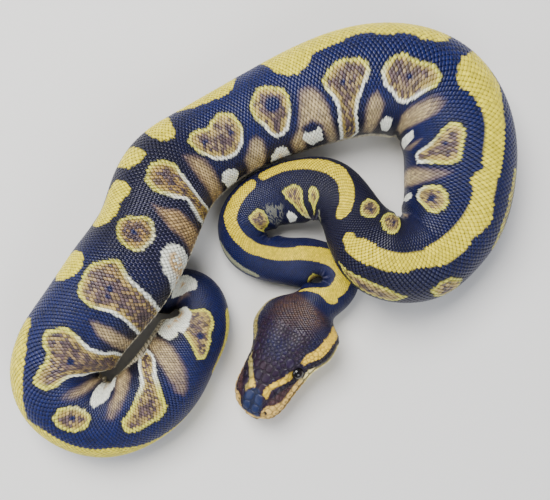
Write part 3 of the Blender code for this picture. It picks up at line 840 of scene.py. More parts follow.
# Marks on the head, as those on the body, with the distance from the midline of the crown
# as the second number. The cheek's are on both sides, and each side of the snout has its own.
CHEEK_LINE = [
    (-21.3, 11.6), (-19, 12), (-17.5, 12.5), (-15.5, 14), (-13.5, 15), (-11, 15.6), (-7, 15.6), (-4, 14.6),
    (-2, 14), (-1, 15.2), (-1.5, 17), (-2.8, 18.6), (-6, 19.3), (-9.5, 19.6), (-12.5, 19.3), (-15, 18.6),
    (-16.5, 17.7), (-18, 16.4), (-19.5, 15), (-21.3, 13.6),
]
LEFT_SNOUT_LINE = [
    (-25, 10.8), (-27.5, 11.6), (-30.5, 9), (-33, 6.6), (-35, 5.1), (-38.6, 5), (-37.8, 3), (-35, 3.3),
    (-31.5, 5.7), (-28.5, 8), (-26, 9.4),
]
RIGHT_SNOUT_LINE = [
    (-25.5, 9), (-27.5, 7.6), (-29, 6.4), (-31, 5.1), (-33, 3.4), (-35, 2.2), (-36.2, 1), (-37.2, 2.2),
    (-39.4, 4.3), (-38.4, 5), (-36, 4.4), (-34, 5.1), (-31.5, 6.8), (-30, 8.1), (-28, 10.2), (-25.5, 10.6),
]
CHEEK_LIP = [
    (-26.3, 16.4), (-24, 15.9), (-22, 16.4), (-20.5, 18.2), (-19, 20.2), (-16.5, 21.6), (-14, 22.5),
    (-10, 23.2), (-5, 22.5), (0, 24), (0, 60), (-26.3, 60),
]
LEFT_SNOUT_LIP = [
    (-26, 15), (-28.5, 13.8), (-31, 13.2), (-34.5, 12.2), (-37.5, 10.6), (-39.5, 8.4), (-40.4, 6.4),
    (-42, 5.2), (-45.4, 4.3), (-46, 2.4), (-46.2, -1), (-48, -1), (-48, 60), (-26, 60),
]
RIGHT_SNOUT_LIP = [
    (-26, 17), (-30, 14.6), (-34.5, 12.8), (-38, 11.6), (-40.6, 10.6), (-41, 7.4), (-42, 5.8), (-45.4, 4.6),
    (-46, 2.4), (-46.2, -1), (-48, -1), (-48, 60), (-26, 60),
]
LOREAL_PATCH = [
    (-29, 13), (-31.5, 9.8), (-34, 7.4), (-37, 6.4), (-40, 6), (-40.5, 7.5), (-38.5, 10), (-34.5, 12.4),
    (-31, 14),
]
LOREAL_STREAK = [(-27.5, 13.4, 0.8), (-30.5, 10.6, 0.8), (-33.5, 8.0, 0.8), (-37, 6.6, 0.5)]
CHEEK_BAND = [(-22.5, 15.2, 0.9), (-19, 17.6, 1.3), (-14.5, 20.6, 1.4), (-9, 21.6, 1.5), (-4, 21.4, 1.6)]
NASAL_PATCH = [(-39, 0, 2.4), (-42, 0, 4.4), (-45, 0, 3.6)]
NOSTRIL_SHADE = (-43.4, 6.4, 0.55)


def head_colour(along, round_head, chance):
    """The colour of the head: purple-brown crown, yellow lines through the eye, pale lips."""
    side = np.abs(round_head)
    colour = np.empty(np.shape(along) + (3,))
    colour[:] = HEAD_PURPLE
    colour = blend(colour, HEAD_BROWN, softly((along + 13) / 8) * softly(1.7 - side / 9))
    middle = np.exp(-(((along + 20) / 4.5) ** 2) - (side / 5.5) ** 2)
    bluish = 0.75 * middle + 0.45 * chance[..., 0] * softly(side / 8 + 0.4)
    colour = blend(colour, HEAD_NAVY, bluish)
    colour = blend(colour, HEAD_NAVY * 0.7, 0.8 * softly((side - 9) / 4) * softly((along + 26) / 6))
    colour = blend(colour, HEAD_DARK, 0.5 * softly((chance[..., 1] - 0.6) / 0.3))
    colour = blend(colour, LOREAL_BROWN, softly(0.5 - outline_distance(along, side, LOREAL_PATCH) / 0.8))
    for band in (LOREAL_STREAK, CHEEK_BAND):
        colour = blend(colour, HEAD_DARK, softly(0.5 - brush_distance(along, side, band) / 0.7))
    colour = blend(colour, NASAL_BLUE, softly(0.5 - brush_distance(along, side, NASAL_PATCH) / 0.8))
    lip_paint_and_highlight = blend(LIP_GOLD, LIP_CREAM_HIGHLIT, softly((along + 28) / 3))
    left, right = -round_head, round_head
    for outline, over in ((CHEEK_LIP, side), (LEFT_SNOUT_LIP, left), (RIGHT_SNOUT_LIP, right)):
        colour = blend(colour, lip_paint_and_highlight, softly(0.5 - outline_distance(along, over, outline) / 0.5))
    # On the right side the lines turn olive: painted shade.
    line_paint_and_shade = blend(HEAD_YELLOW, HEAD_YELLOW_IN_SHADE, softly((round_head - 2) / 3))
    for outline, over in ((CHEEK_LINE, side), (LEFT_SNOUT_LINE, left), (RIGHT_SNOUT_LINE, right)):
        colour = blend(colour, line_paint_and_shade, softly(0.5 - outline_distance(along, over, outline) / 0.35))
    # Painted shade in the opening of each nostril.
    colour = blend(colour, HEAD_DARK, softly(0.5 - brush_distance(along, side, [NOSTRIL_SHADE]) / 0.3))
    under = softly((side / np.maximum(girth_at(along), 1.0) - 0.41) / 0.05)
    return blend(colour, BELLY_CREAM, under)


def coat_colour(along, share, chance):
    """The colour of skin or scales anywhere on the animal."""
    round_body = share * girth_at(along)
    on_the_body = body_colour(along, round_body, chance)
    on_the_head = head_colour(along, round_body, chance)
    return blend(on_the_head, on_the_body, softly((along + 1.5) / 2.5))


# ---------------------------------------------------------------- the skin
# One soft skin from snout to tail tip, thin and matt, seen only as fine lines between the
# scales. It is a grid wrapped into a tube and closed at both ends.

SKIN_COLUMNS = 160
SKIN_HEAD_STEP = 0.3
SKIN_BODY_STEP = 1.3
# Painted shadow in the groove of the closed mouth.
MOUTH_PAINTED_SHADOW = paint(30, 18, 20)
# Waves in a metre of the mottling in colour and gloss, and of the grain in the surface.
MOTTLE_SCALE = 900.0
MOTTLE_SHADES = (0.82, 1.15)
GRAIN_SCALE = 3500.0
GRAIN_DEPTH = 0.05 * MM
COAT_ROUGHNESS = 0.22


def scale_material(name, roughness, bump_strength, coat, shine):
    """Horn: the painted colour, broken up by fine mottling, with a low gloss and fine pits."""
    material = bpy.data.materials.new(name)
    material.use_nodes = True
    nodes, links = material.node_tree.nodes, material.node_tree.links
    shader = nodes["Principled BSDF"]
    place = nodes.new("ShaderNodeTexCoord")
    marking = nodes.new("ShaderNodeAttribute")
    marking.attribute_name = "marking"
    mottle = nodes.new("ShaderNodeTexNoise")
    mottle.inputs["Scale"].default_value = MOTTLE_SCALE
    mottle.inputs["Detail"].default_value = 3.0
    links.new(place.outputs["Object"], mottle.inputs["Vector"])
    ramp = nodes.new("ShaderNodeMapRange")
    ramp.inputs["From Min"].default_value = 0.3
    ramp.inputs["From Max"].default_value = 0.7
    ramp.inputs["To Min"].default_value, ramp.inputs["To Max"].default_value = MOTTLE_SHADES
    links.new(mottle.outputs["Fac"], ramp.inputs["Value"])
    shade = nodes.new("ShaderNodeVectorMath")
    shade.operation = "SCALE"
    links.new(marking.outputs["Color"], shade.inputs["Vector"])
    links.new(ramp.outputs["Result"], shade.inputs["Scale"])
    links.new(shade.outputs["Vector"], shader.inputs["Base Color"])
    grain = nodes.new("ShaderNodeTexNoise")
    grain.inputs["Scale"].default_value = GRAIN_SCALE
    links.new(place.outputs["Object"], grain.inputs["Vector"])
    relief_node = nodes.new("ShaderNodeBump")
    relief_node.inputs["Strength"].default_value = bump_strength
    relief_node.inputs["Distance"].default_value = GRAIN_DEPTH
    links.new(grain.outputs["Fac"], relief_node.inputs["Height"])
    links.new(relief_node.outputs["Normal"], shader.inputs["Normal"])
    rough = nodes.new("ShaderNodeMapRange")
    rough.inputs["To Min"].default_value = roughness - 0.06
    rough.inputs["To Max"].default_value = roughness + 0.08
    links.new(mottle.outputs["Fac"], rough.inputs["Value"])
    links.new(rough.outputs["Result"], shader.inputs["Roughness"])
    shader.inputs["Specular IOR Level"].default_value = shine
    shader.inputs["Coat Weight"].default_value = coat
    shader.inputs["Coat Roughness"].default_value = COAT_ROUGHNESS
    return material


def give_colours(mesh, colours):
    """Stores a colour for each vertex as the attribute that the materials read."""
    layer = mesh.color_attributes.new("marking", "FLOAT_COLOR", "POINT")
    opaque = np.column_stack([colours, np.ones(len(colours))])
    layer.data.foreach_set("color", opaque.astype(np.float32).ravel())


skin_along = np.concatenate(
    [
        np.arange(surface_along[0], 0.0, SKIN_HEAD_STEP),
        np.arange(0.0, surface_along[-1], SKIN_BODY_STEP),
        surface_along[-1:],
    ]
)
bm = bmesh.new()
bmesh.ops.create_grid(bm, x_segments=SKIN_COLUMNS, y_segments=len(skin_along) - 1, size=1.0)
skin_mesh = bpy.data.meshes.new("skin")
bm.to_mesh(skin_mesh)
bm.free()
spots = np.empty(len(skin_mesh.vertices) * 3)
skin_mesh.vertices.foreach_get("co", spots)
spots = spots.reshape(-1, 3)
rows_of_skin = np.rint((spots[:, 1] + 1) / 2 * (len(skin_along) - 1)).astype(int)
skin_share = np.rint((spots[:, 0] + 1) / 2 * SKIN_COLUMNS) / SKIN_COLUMNS - 0.5
where = skin_along[rows_of_skin]
depth = COAT_DEPTH * np.clip(girth_at(where) / 20, 0, 1)
spots = on_surface(where, skin_share, surface) - on_surface(where, skin_share, normals) * depth[:, None]
for row in (0, len(skin_along) - 1):
    end = rows_of_skin == row
    spots[end] = spots[end].mean(axis=0)
skin_mesh.vertices.foreach_set("co", spots.ravel())
skin_dice = np.random.default_rng(4).random((len(spots), 3))
# The skin is painted at about half the coat's brightness: painted shade in the gaps between the scales and
# plates.
skin_paint = coat_colour(where, skin_share, skin_dice) * 0.55
net = net_amount(where, skin_share * girth_at(where)) * softly(where / 10)
skin_paint = blend(skin_paint, NET_PALE, 0.8 * net * (1 - softly(skin_paint.mean(axis=1) / 0.10)))
# Painted shadow darkens the skin in the groove of the closed mouth.
inner_lip = on_surface(where, skin_share, on_head)
from_mouth = np.abs(inner_lip[:, 2] - mouth_height(inner_lip[:, 0]))
mouth_shadow = softly(1.3 - from_mouth / MOUTH_GROOVE) * softly((-where - 8) / 2)
skin_paint = blend(skin_paint, MOUTH_PAINTED_SHADOW, mouth_shadow)
give_colours(skin_mesh, skin_paint)
bm = bmesh.new()
bm.from_mesh(skin_mesh)
bmesh.ops.remove_doubles(bm, verts=bm.verts, dist=1e-6)
bmesh.ops.recalc_face_normals(bm, faces=bm.faces)
bm.to_mesh(skin_mesh)
bm.free()
skin_mesh.shade_smooth()
skin_mesh.materials.append(scale_material("soft_skin", 0.55, 0.3, 0.0, 0.35))
skin = placed("skin", skin_mesh)
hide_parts(*[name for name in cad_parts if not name.startswith("eye")])
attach(skin, "root")


# ---------------------------------------------------------------- the body scales
# Small smooth overlapping horn scales in slanting rows, each a low closed dome whose rear
# edge lies over the next. They run in rows along the body, in eight bands around it.

ROW_COUNT = 73
# The part of the girth that the rows cover: the belly plates have the rest.
DORSAL_SHARE = 0.83
ROW_SHARE = DORSAL_SHARE / (ROW_COUNT - 1)
# Length of a ring of scales over the distance between rows.
SCALE_LENGTH = 1.02
FIRST_SCALE = -12.0
LAST_SCALE = surface_along[-1] - 2.0
# Each piece, and its first and last row counted from the spine.
SCALE_BANDS = [
    ("scales_left_low", -36, -28),
    ("scales_left_flank", -27, -19),
    ("scales_left_shoulder", -18, -10),
    ("scales_left_back", -9, 0),
    ("scales_right_back", 1, 9),
    ("scales_right_shoulder", 10, 18),
    ("scales_right_flank", 19, 27),
    ("scales_right_low", 28, 36),
]
RIM = 8
SHORTEST_SCALE = 0.5
LIP_BORDER = 2.6
# A scale's crest is lightened by this much: a painted highlight.
CREST_PAINTED_HIGHLIGHT = 1.12


def scale_template():
    """One scale in its own units: x toward the tail, y across, z out. Rim, shoulder, top."""
    bm = bmesh.new()
    bmesh.ops.create_circle(bm, segments=RIM, radius=1.0)
    rim = sorted(bm.verts, key=lambda vert: math.atan2(vert.co.y, vert.co.x))
    points = []
    for vert in rim:
        x, y = vert.co.x, vert.co.y
        points.append((0.5 * abs(x) ** 1.45 * np.sign(x), abs(y) ** 1.45 * np.sign(y), 0.0))
    bm.free()
    rim = np.array(points)
    rear = rim[:, 0] * 2
    rim[:, 0] += 0.06 * (rear > 0)
    rim[:, 2] = 0.04 + 0.07 * rear
    shoulder = rim * [0.62, 0.62, 0.0] + [0.02, 0.0, 0.0]
    shoulder[:, 2] = 0.135 + 0.05 * rear
    return np.concatenate([rim, shoulder, [[0.02, 0.0, 0.165]]])


def scale_faces():
    """Triangles and underside of one scale, for the vertex order of its template."""
    faces = []
    for i in range(RIM):
        j = (i + 1) % RIM
        faces += [(i, j, RIM + j), (i, RIM + j, RIM + i), (RIM + i, RIM + j, 2 * RIM)]
    for i in range(1, RIM - 1):
        faces.append((0, i + 1, i))
    return np.array(faces)


def triangle_mesh(name, points, faces, colours, patches):
    """A mesh of triangles from arrays, with its colours and its bake map."""
    mesh = bpy.data.meshes.new(name)
    mesh.vertices.add(len(points))
    mesh.vertices.foreach_set("co", points.astype(np.float32).ravel())
    mesh.loops.add(faces.size)
    mesh.loops.foreach_set("vertex_index", faces.astype(np.int32).ravel())
    mesh.polygons.add(len(faces))
    mesh.polygons.foreach_set("loop_start", np.arange(0, faces.size, 3, dtype=np.int32))
    mesh.update(calc_edges=True)
    mesh.validate()
    give_colours(mesh, colours)
    layer = mesh.uv_layers.new(name="OFBake")
    layer.data.foreach_set("uv", patches[faces.ravel()].astype(np.float32).ravel())
    mesh.shade_smooth()
    return mesh


def bake_place(along, share):
    """Where a place on the animal lies on its unwrapped skin, which is cut in two lengths."""
    half = along > 250
    u = 0.015 + (along - np.where(half, 250, -48)) / 300 * 0.97
    v = 0.04 + (share + 0.5) * 0.40 + np.where(half, 0.50, 0.0)
    return u, v


def ring_length(along):
    return np.maximum(SHORTEST_SCALE, SCALE_LENGTH * ROW_SHARE * girth_at(along))


# Half the width that one scale or plate has on the unwrapped skin.
BAKE_PATCH = 0.0013
ring_places = [FIRST_SCALE]
while ring_places[-1] < LAST_SCALE:
    ring_places.append(ring_places[-1] + ring_length(ring_places[-1]))
ring_places = np.array(ring_places[:-1])
ring_lengths = ring_length(ring_places)
template = scale_template()
template_faces = scale_faces()
SCALE_CORNERS = np.array([(1.0, 0.0), (0.0, 1.0), (-1.0, 0.0), (0.0, -1.0)])
facing = template[:RIM, :2] * [2, 1]
facing /= np.linalg.norm(facing, axis=1, keepdims=True)
corner_weights = np.maximum(facing @ SCALE_CORNERS.T, 0) ** 2
horn = scale_material("glossy_horn", 0.40, 0.25, 0.08, 0.35)
scale_dice = np.random.default_rng(7)

for band, first_row, last_row in SCALE_BANDS:
    rows = np.arange(first_row, last_row + 1)
    along = (ring_places[:, None] + ring_lengths[:, None] * (0.5 * (rows % 2))).ravel()
    length = np.repeat(ring_lengths, len(rows))
    share = np.tile(rows * ROW_SHARE, len(ring_places))
    dice = scale_dice.random((len(along), 3))
    here = on_surface(along, share, on_head)
    on_lip = (along < -7) & (here[:, 2] < mouth_height(here[:, 0]) + LIP_BORDER)
    along, length, share, dice = (values[~on_lip] for values in (along, length, share, dice))
    before = on_surface(along - length / 2, share, surface)
    after = on_surface(along + length / 2, share, surface)
    beside = on_surface(along, share + ROW_SHARE, surface) - on_surface(along, share - ROW_SHARE, surface)
    real_length = np.linalg.norm(after - before, axis=1)
    real_width = np.linalg.norm(beside, axis=1)
    thick = np.minimum(real_length * 1.15, real_width * 0.7)
    open_up = 1.0 - 0.14 * net_amount(along, share * girth_at(along))
    size = open_up * (0.97 + 0.05 * dice[:, 0])
    place = along[:, None] + template[None, :, 0] * (length * size)[:, None]
    across = share[:, None] + template[None, :, 1] * (ROW_SHARE * size)[:, None]
    lift = template[None, :, 2] * thick[:, None] - COAT_DEPTH
    points = on_surface(place, across, surface) + on_surface(place, across, normals) * lift[:, :, None]
    points[..., 2] = np.maximum(points[..., 2], 0.0)
    tone = coat_colour(along, share, dice)
    ends = [
        coat_colour(along + over[0] * 0.32 * length, share + over[1] * 0.6 * ROW_SHARE, dice)
        for over in SCALE_CORNERS
    ]
    edge = np.einsum("rc,cnk->nrk", corner_weights, np.array(ends))
    # Painted shade darkens each scale's rim, where it meets its neighbours, less on pale scales and on the
    # head.
    rim_painted_shade = 0.42 + 0.40 * np.clip(edge.mean(axis=2, keepdims=True) / 0.5, 0, 1)
    rim_painted_shade = rim_painted_shade + 0.22 * softly((8 - along) / 8)[:, None, None]
    shoulder = 0.3 * tone[:, None, :] + 0.7 * edge
    # Rim in painted shade, shoulder, and crest with a painted highlight.
    colours = np.concatenate([edge * rim_painted_shade, shoulder, tone[:, None, :] * CREST_PAINTED_HIGHLIGHT], axis=1)
    colours *= 0.94 + 0.12 * dice[:, None, 2:3]
    spread = np.concatenate([template[:RIM, :2] * [2, 1], template[RIM:, :2] * [1.6, 0.8]])
    patches = np.stack(bake_place(along, share), axis=-1)[:, None] + spread[None] * BAKE_PATCH
    count = len(template)
    faces = (template_faces[None] + (np.arange(len(along)) * count)[:, None, None]).reshape(-1, 3)
    mesh = triangle_mesh(band, points.reshape(-1, 3), faces, colours.reshape(-1, 3), patches.reshape(-1, 2))
    mesh.materials.append(horn)
    piece = placed(band, mesh)
    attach(piece, "root")


# ---------------------------------------------------------------- the head plates
# Smooth horn plates that meet at fine grooves: large and paired on the snout and over the
# eyes, a row along each lip with heat pits in the first of the upper row, and small and
# pebbly on the crown, cheeks and chin.

PLATE_SIDES = 20
PLATE_GROOVE = 0.13
PLATE_DOME = 0.24
PLATE_RIM_SINK = 0.06
PIT_DEPTH = 0.45
PLATES_END = 11.0
EYE_RING_PLATES = 10
NOSTRIL = (43.6, 5.6, 0.9)
# Places tried for small plates, and the part of both radii that two may be apart.
PLATE_TRIES = 26000
PLATE_SQUEEZE = 0.93
# Distance from the nape, distance from the midline and radius of each crown plate, in mm.
CROWN_PLATES = [
    (43.6, 1.9, 2.0), (40.0, 2.4, 2.2), (40.6, 5.2, 1.3), (36.0, 2.3, 2.0), (36.4, 5.9, 1.6),
    (31.8, 1.7, 1.7), (32.2, 5.0, 1.5), (28.2, 1.4, 1.4), (28.4, 4.3, 1.3), (27.2, 7.6, 2.0),
    (23.2, 7.9, 1.8),
]
# Distances from the nape of the plates along the lips, in mm.
LIP_PLATES = [45.6, 43.6, 41.4, 38.8, 36.0, 33.1, 30.2, 27.3, 24.4, 21.6, 18.8, 16.1, 13.6, 11.3, 9.3]
HEAT_PITS = 5
LIP_EDGE_GAP = 0.42
# Smallest distance between plates, in mm, at distances in mm from the nape.
CROWN_SPACING = [(7, 1.1), (16, 1.2), (22, 1.45), (28, 1.9), (34, 2.6), (42, 3.0)]
CHEEK_SPACING = [(7, 1.3), (20, 1.45), (26, 1.8), (45, 1.9)]
CHIN_SPACING = [(3, 1.7), (30, 2.0), (45, 2.2)]
# Rings of a plate from its rim to its top: part of the radius and part of the height.
PLATE_RINGS = [(1.0, 0.0), (0.92, 0.55), (0.72, 0.86), (0.4, 0.98)]
# How each ring's colour is scaled: painted shade at the rim by the grooves, a painted highlight toward the
# top.
PLATE_PAINTED_SHADING = [0.6, 0.88, 1.0, 1.04]

head_turn = np.array(HEAD_FRAME)
plate_rows = np.flatnonzero(surface_along < -1.0)
sheet = (surface[plate_rows] - head_turn[:3, 3]) @ head_turn[:3, :3] / MM
corners = np.arange(len(plate_rows) * (COLUMNS + 1)).reshape(len(plate_rows), COLUMNS + 1)
sheet_faces = np.stack(
    [corners[:-1, :-1], corners[1:, :-1], corners[1:, 1:], corners[:-1, 1:]], axis=-1
).reshape(-1, 4)
head_tree = BVHTree.FromPolygons(sheet.reshape(-1, 3).tolist(), sheet_faces.tolist())


def place_of(face):
    """The distance behind the nape and the share of the girth at a face of the sheet."""
    along = surface_along[plate_rows[face // COLUMNS]]
    return max(along, -HEAD_LENGTH), (face % COLUMNS + 0.5) / COLUMNS - 0.5


def cast(start, toward):
    """The point and the face of the sheet that a line from start meets."""
    found, _, face, _ = head_tree.ray_cast(Vector(start), Vector(toward))
    return np.array(found), face


def nearest(spot):
    """The point and the face of the sheet nearest to a spot."""
    found, _, face, _ = head_tree.find_nearest(Vector(spot))
    return np.array(found), face


# Each plate has a point, a face of the sheet, a radius, and whether it holds a heat pit. Gaps
# are left for the eyes and the nostrils.
plates = []
gaps = [(EYE_AT * [1, side, 1], None, EYE_RADIUS * 0.96) for side in (1, -1)]
plates.append((*cast((60, 0, -1.2), (-1, 0, 0)), 1.9, False))
plates.append((*cast((60, 0, -3.9), (-1, 0, 0)), 1.2, False))
for at, over, radius in CROWN_PLATES:
    for side in (1, -1):
        plates.append((*cast((at, over * side, 30), (0, 0, -1)), radius, False))
for number, at in enumerate(LIP_PLATES):
    for side in (1, -1):
        pitted = 0 < number <= HEAT_PITS
        plates.append((*cast((at, 30 * side, mouth_height(at) + 1.25), (0, -side, 0)), 1.35, pitted))
        plates.append((*cast((at - 0.8, 30 * side, mouth_height(at) - 1.3), (0, -side, 0)), 1.3, False))
for side in (1, -1):
    for at, over, up in ((45.3, 3.2, 0.6), (42.4, 6.6, 0.9)):
        plates.append((*nearest((at, over * side, up)), 1.2, False))
    for step in range(EYE_RING_PLATES):
        turn = 2 * math.pi * (step + 0.5) / EYE_RING_PLATES
        by_eye = (EYE_AT[0] + 3.7 * math.cos(turn), 12.0 * side, EYE_AT[2] + 3.2 * math.sin(turn))
        plates.append((*nearest(by_eye), 0.85, False))
    gaps.append((*nearest((NOSTRIL[0], NOSTRIL[1] * side, NOSTRIL[2])), 0.5))

plate_dice = np.random.default_rng(11)
tries = sheet_faces[plate_dice.integers(0, len(sheet_faces), PLATE_TRIES)][:, 0]
for corner in tries:
    spot = sheet.reshape(-1, 3)[corner]
    at, over, up = spot
    share = abs((corner % (COLUMNS + 1)) / COLUMNS - 0.5)
    over_mouth = up - mouth_height(at)
    if over < 0 or not (at > PLATES_END or (at > 7 and over_mouth < 2.4) or (at > 3 and share > 0.425)):
        continue
    table = CHIN_SPACING if over_mouth < -2.2 else CHEEK_SPACING if up < 3.5 else CROWN_SPACING
    radius = along_table(table, at) / 2
    if over < radius:
        spot, _ = nearest((at, 0.0, up))
    taken = np.array([one[0] for one in plates + gaps])
    room = np.array([one[2] for one in plates + gaps])
    if (np.linalg.norm(taken - spot, axis=1) < (room + radius) * PLATE_SQUEEZE).any():
        continue
    for side in (1, -1) if over >= radius else (1,):
        plates.append((*nearest(spot * [1, side, 1]), radius, False))

centres = np.array([one[0] for one in plates + gaps])
radii = np.array([one[2] for one in plates + gaps])
turns = np.arange(PLATE_SIDES) * 2 * math.pi / PLATE_SIDES
circle = np.column_stack([np.cos(turns), np.sin(turns)])
fan = np.concatenate([circle * part for part, _ in PLATE_RINGS] + [np.zeros((1, 2))])
plate_points, plate_places, plate_painted_shading, plate_patches = [], [], [], []
for centre, face, radius, pitted in plates:
    _, normal, _, _ = head_tree.find_nearest(Vector(centre))
    normal = np.array(normal)
    rearward = np.array([-1.0, 0, 0]) + normal[0] * normal
    if np.linalg.norm(rearward) < 0.3:
        rearward = np.array([0, 0, -1.0]) + normal[2] * normal
    rearward /= np.linalg.norm(rearward)
    sideways = np.cross(normal, rearward)
    apart = centres - centre
    length = np.linalg.norm(apart, axis=1)
    near = (length > 1e-6) & (length < 7.0)
    flat = apart[near] - (apart[near] @ normal)[:, None] * normal
    bearing = np.arctan2(flat @ sideways, flat @ rearward)
    length = length[near]
    wall = (length**2 + radius**2 - radii[near] ** 2) / (2 * length) - PLATE_GROOVE / 2
    facing = np.cos(turns[:, None] - bearing[None])
    reach = np.where(facing > 0.08, wall[None] / np.maximum(facing, 0.08), 99.0).min(axis=1)
    around = np.cos(turns)[:, None] * rearward + np.sin(turns)[:, None] * sideways
    to_mouth = mouth_height(centre[0]) - centre[2]
    if centre[0] > 8 and abs(to_mouth) < 5:
        steep = around[:, 2] * np.sign(to_mouth)
        to_lip = (abs(to_mouth) - LIP_EDGE_GAP) / np.maximum(steep, 0.05)
        reach = np.where(steep > 0.05, np.minimum(reach, to_lip), reach)
    reach = np.clip(reach, 0.15, radius * 1.6)
    for _ in range(2):
        reach = np.minimum(reach, (np.roll(reach, 1) + 2 * reach + np.roll(reach, -1)) / 4)
    dome = PLATE_DOME * min(1.0, reach.mean())
    for (part, rise), shade in zip(PLATE_RINGS, PLATE_PAINTED_SHADING):
        for spoke, across in zip(around, reach):
            found, out, face, _ = head_tree.find_nearest(Vector(centre + spoke * across * part))
            sunk = PLATE_RIM_SINK if part == 1.0 else 0.0
            high = rise * dome - COAT_DEPTH / MM - sunk
            plate_points.append(np.array(found) + np.array(out) * high)
            plate_places.append(place_of(face))
            plate_painted_shading.append(shade)
    top = -PIT_DEPTH if pitted else dome
    plate_points.append(centre + normal * (top - COAT_DEPTH / MM))
    plate_places.append(place_of(face))
    # The middle: painted shade deep in a heat pit, else a painted highlight.
    plate_painted_shading.append(0.15 if pitted else 1.08)
    plate_patches.append(np.array(bake_place(*place_of(face))) + fan * BAKE_PATCH)

ring_faces = []
for ring in range(len(PLATE_RINGS) - 1):
    for i in range(PLATE_SIDES):
        a, b = ring * PLATE_SIDES + i, ring * PLATE_SIDES + (i + 1) % PLATE_SIDES
        ring_faces += [(a, b, b + PLATE_SIDES), (a, b + PLATE_SIDES, a + PLATE_SIDES)]
last_ring = (len(PLATE_RINGS) - 1) * PLATE_SIDES
for i in range(PLATE_SIDES):
    ring_faces.append((last_ring + i, last_ring + (i + 1) % PLATE_SIDES, last_ring + PLATE_SIDES))
ring_faces += [(0, i + 1, i) for i in range(1, PLATE_SIDES - 1)]
plate_count = last_ring + PLATE_SIDES + 1
faces = (np.array(ring_faces)[None] + (np.arange(len(plates)) * plate_count)[:, None, None]).reshape(-1, 3)
along, share = np.array(plate_places).T
dice = np.repeat(plate_dice.random((len(plates), 3)), plate_count, axis=0)
colours = coat_colour(along, share, dice) * np.array(plate_painted_shading)[:, None] * (0.90 + 0.2 * dice[:, 2:3])
plates_mesh = triangle_mesh(
    "head_plates", head_to_world(np.array(plate_points)), faces, colours, np.concatenate(plate_patches)
)
plates_mesh.materials.append(scale_material("glossy_plate", 0.36, 0.2, 0.06, 0.22))
head_plates = placed("head_plates", plates_mesh)
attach(head_plates, "root")


# ---------------------------------------------------------------- the belly plates
# One broad smooth plate after another across the belly, each lying over the next, and
# behind the vent in pairs. They are pale cream, and the snake rests on them.

# Points across and along one plate.
SCUTE_ACROSS = 13
SCUTE_ALONG = 4
# Half a plate's width as a part of the girth.
SCUTE_HALF = 0.078
SCUTES_FROM = 3.0
VENT_AT = 488.0
SCUTE_RISE = [(0.0, 0.0), (0.35, 0.16), (0.75, 0.24), (1.0, 0.22)]

over, down = np.meshgrid(np.linspace(-1, 1, SCUTE_ACROSS), np.linspace(0, 1, SCUTE_ALONG))
over, down = over.ravel(), down.ravel()
rise = along_table(SCUTE_RISE, down) * (1 - np.abs(over) ** 8)
reach = (down - 0.5) * 1.12 * (1 - 0.25 * over**8) + 0.5 + 0.10 * (1 - over**2)
scute_faces = []
for i in range(SCUTE_ALONG - 1):
    for j in range(SCUTE_ACROSS - 1):
        a = i * SCUTE_ACROSS + j
        scute_faces += [(a, a + SCUTE_ACROSS, a + SCUTE_ACROSS + 1), (a, a + SCUTE_ACROSS + 1, a + 1)]
last = (SCUTE_ALONG - 1) * SCUTE_ACROSS
for j in range(SCUTE_ACROSS - 1):
    scute_faces += [(j, j + 1, last + j + 1), (j, last + j + 1, last + j)]
for i in range(1, SCUTE_ALONG - 1):
    left, right = i * SCUTE_ACROSS, (i + 1) * SCUTE_ACROSS - 1
    scute_faces += [(0, left + SCUTE_ACROSS, left), (SCUTE_ACROSS - 1, right, right + SCUTE_ACROSS)]

starts = [SCUTES_FROM]
while starts[-1] < LAST_SCALE - 2:
    starts.append(starts[-1] + np.clip(0.021 * girth_at(starts[-1]), 1.2, 2.6))
# Start and length of each plate, and its middle and half width as parts of the girth.
scutes = []
for a, b in zip(starts, starts[1:]):
    if a < VENT_AT:
        scutes.append((a, b - a, 0.5, SCUTE_HALF))
        continue
    for side in (-1, 1):
        scutes.append((a, b - a, 0.5 + side * (SCUTE_HALF / 2 + 0.001), SCUTE_HALF / 2 - 0.002))
start, length, middle, half = np.array(scutes).T
along = start[:, None] + length[:, None] * reach[None]
share = middle[:, None] + half[:, None] * over[None]
high = rise[None] * np.minimum(length[:, None] / 2.2, 1.0) * 0.9 - COAT_DEPTH / MM
points = on_surface(along, share, surface) + on_surface(along, share, normals) * (high * MM)[:, :, None]
points[..., 2] = np.maximum(points[..., 2], 0.0)
belly_dice = np.random.default_rng(13)
fleck = belly_dice.random((len(scutes), 3))[:, None] * np.ones((1, len(over), 1))
edge = softly((np.abs(over) - 0.55) / 0.4)[None] * softly((fleck[..., 0] - 0.7) / 0.1)
tone = blend(BELLY_CREAM, SMUDGE_PURPLE, 0.55 * edge)
# Painted shade darkens the front of each plate, where it lies under the one before.
tone = tone * (0.80 + 0.22 * softly(down * 1.6))[None, :, None]
spread = np.column_stack([(down - 0.5) * 2, over])
patches = np.stack(bake_place(start, middle), axis=-1)[:, None] + spread[None] * BAKE_PATCH
faces = (np.array(scute_faces)[None] + (np.arange(len(scutes)) * len(over))[:, None, None]).reshape(-1, 3)
scutes_mesh = triangle_mesh(
    "belly_plates", points.reshape(-1, 3), faces, tone.reshape(-1, 3), patches.reshape(-1, 2)
)
scutes_mesh.materials.append(horn)
belly_plates = placed("belly_plates", scutes_mesh)
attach(belly_plates, "root")


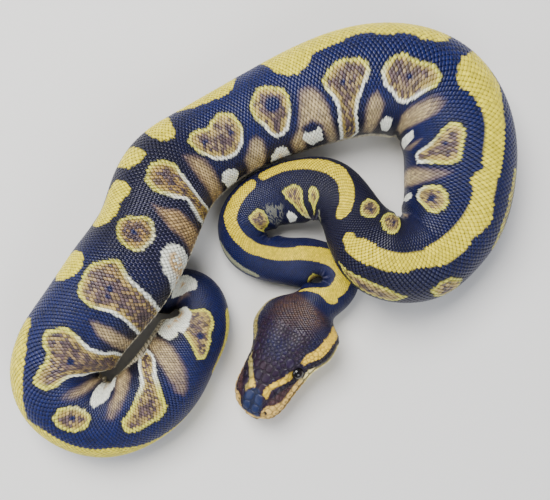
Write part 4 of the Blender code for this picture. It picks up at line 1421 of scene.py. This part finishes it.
# ---------------------------------------------------------------- the eyes
# A dark wet ball under a clear scale, set deep beside the brow: a near-black iris with a
# thin upright slit for a pupil. Each is a separate ball, seated in the hollow of its socket.

# Middles of the eyes in the head's frame, in mm.
EYE_SEATS = {"eye_left": (24.7, 9.75, 1.9), "eye_right": (24.8, -8.3, 1.6)}
SEEN_EYE_RADIUS = 2.35
IRIS_BROWN = paint(30, 20, 20)
IRIS_RIM = paint(10, 8, 12)
PUPIL_BLACK = paint(4, 4, 6)

wet = bpy.data.materials.new("wet_eye")
wet.use_nodes = True
wet_shader = wet.node_tree.nodes["Principled BSDF"]
iris_paint = wet.node_tree.nodes.new("ShaderNodeAttribute")
iris_paint.attribute_name = "marking"
wet.node_tree.links.new(iris_paint.outputs["Color"], wet_shader.inputs["Base Color"])
wet_shader.inputs["Roughness"].default_value = 0.12
wet_shader.inputs["Specular IOR Level"].default_value = 0.25
wet_shader.inputs["Coat Weight"].default_value = 0.35
wet_shader.inputs["Coat Roughness"].default_value = 0.03

for name, seat in EYE_SEATS.items():
    bm = bmesh.new()
    bmesh.ops.create_uvsphere(bm, u_segments=56, v_segments=36, radius=SEEN_EYE_RADIUS)
    outward_turn = Matrix.Rotation(math.radians(-90 if seat[1] > 0 else 90), 4, "X")
    bmesh.ops.transform(bm, matrix=outward_turn, verts=bm.verts)
    seen = np.array([vert.co for vert in bm.verts])
    slit = np.hypot(seen[:, 0] / 0.38, seen[:, 2] / 1.35)
    iris = np.hypot(seen[:, 0], seen[:, 2])
    colours = blend(IRIS_BROWN, IRIS_RIM, softly((iris - 1.2) / 0.8))
    colours = blend(colours, PUPIL_BLACK, softly((1.15 - slit) / 0.3))
    for vert, spot in zip(bm.verts, head_to_world(seen + np.array(seat))):
        vert.co = spot
    eye_mesh = bpy.data.meshes.new(name)
    bm.to_mesh(eye_mesh)
    bm.free()
    give_colours(eye_mesh, colours)
    eye_mesh.shade_smooth()
    eye_mesh.materials.append(wet)
    eye = placed("seen_" + name, eye_mesh)
    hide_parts(name)
    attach(eye, "root")
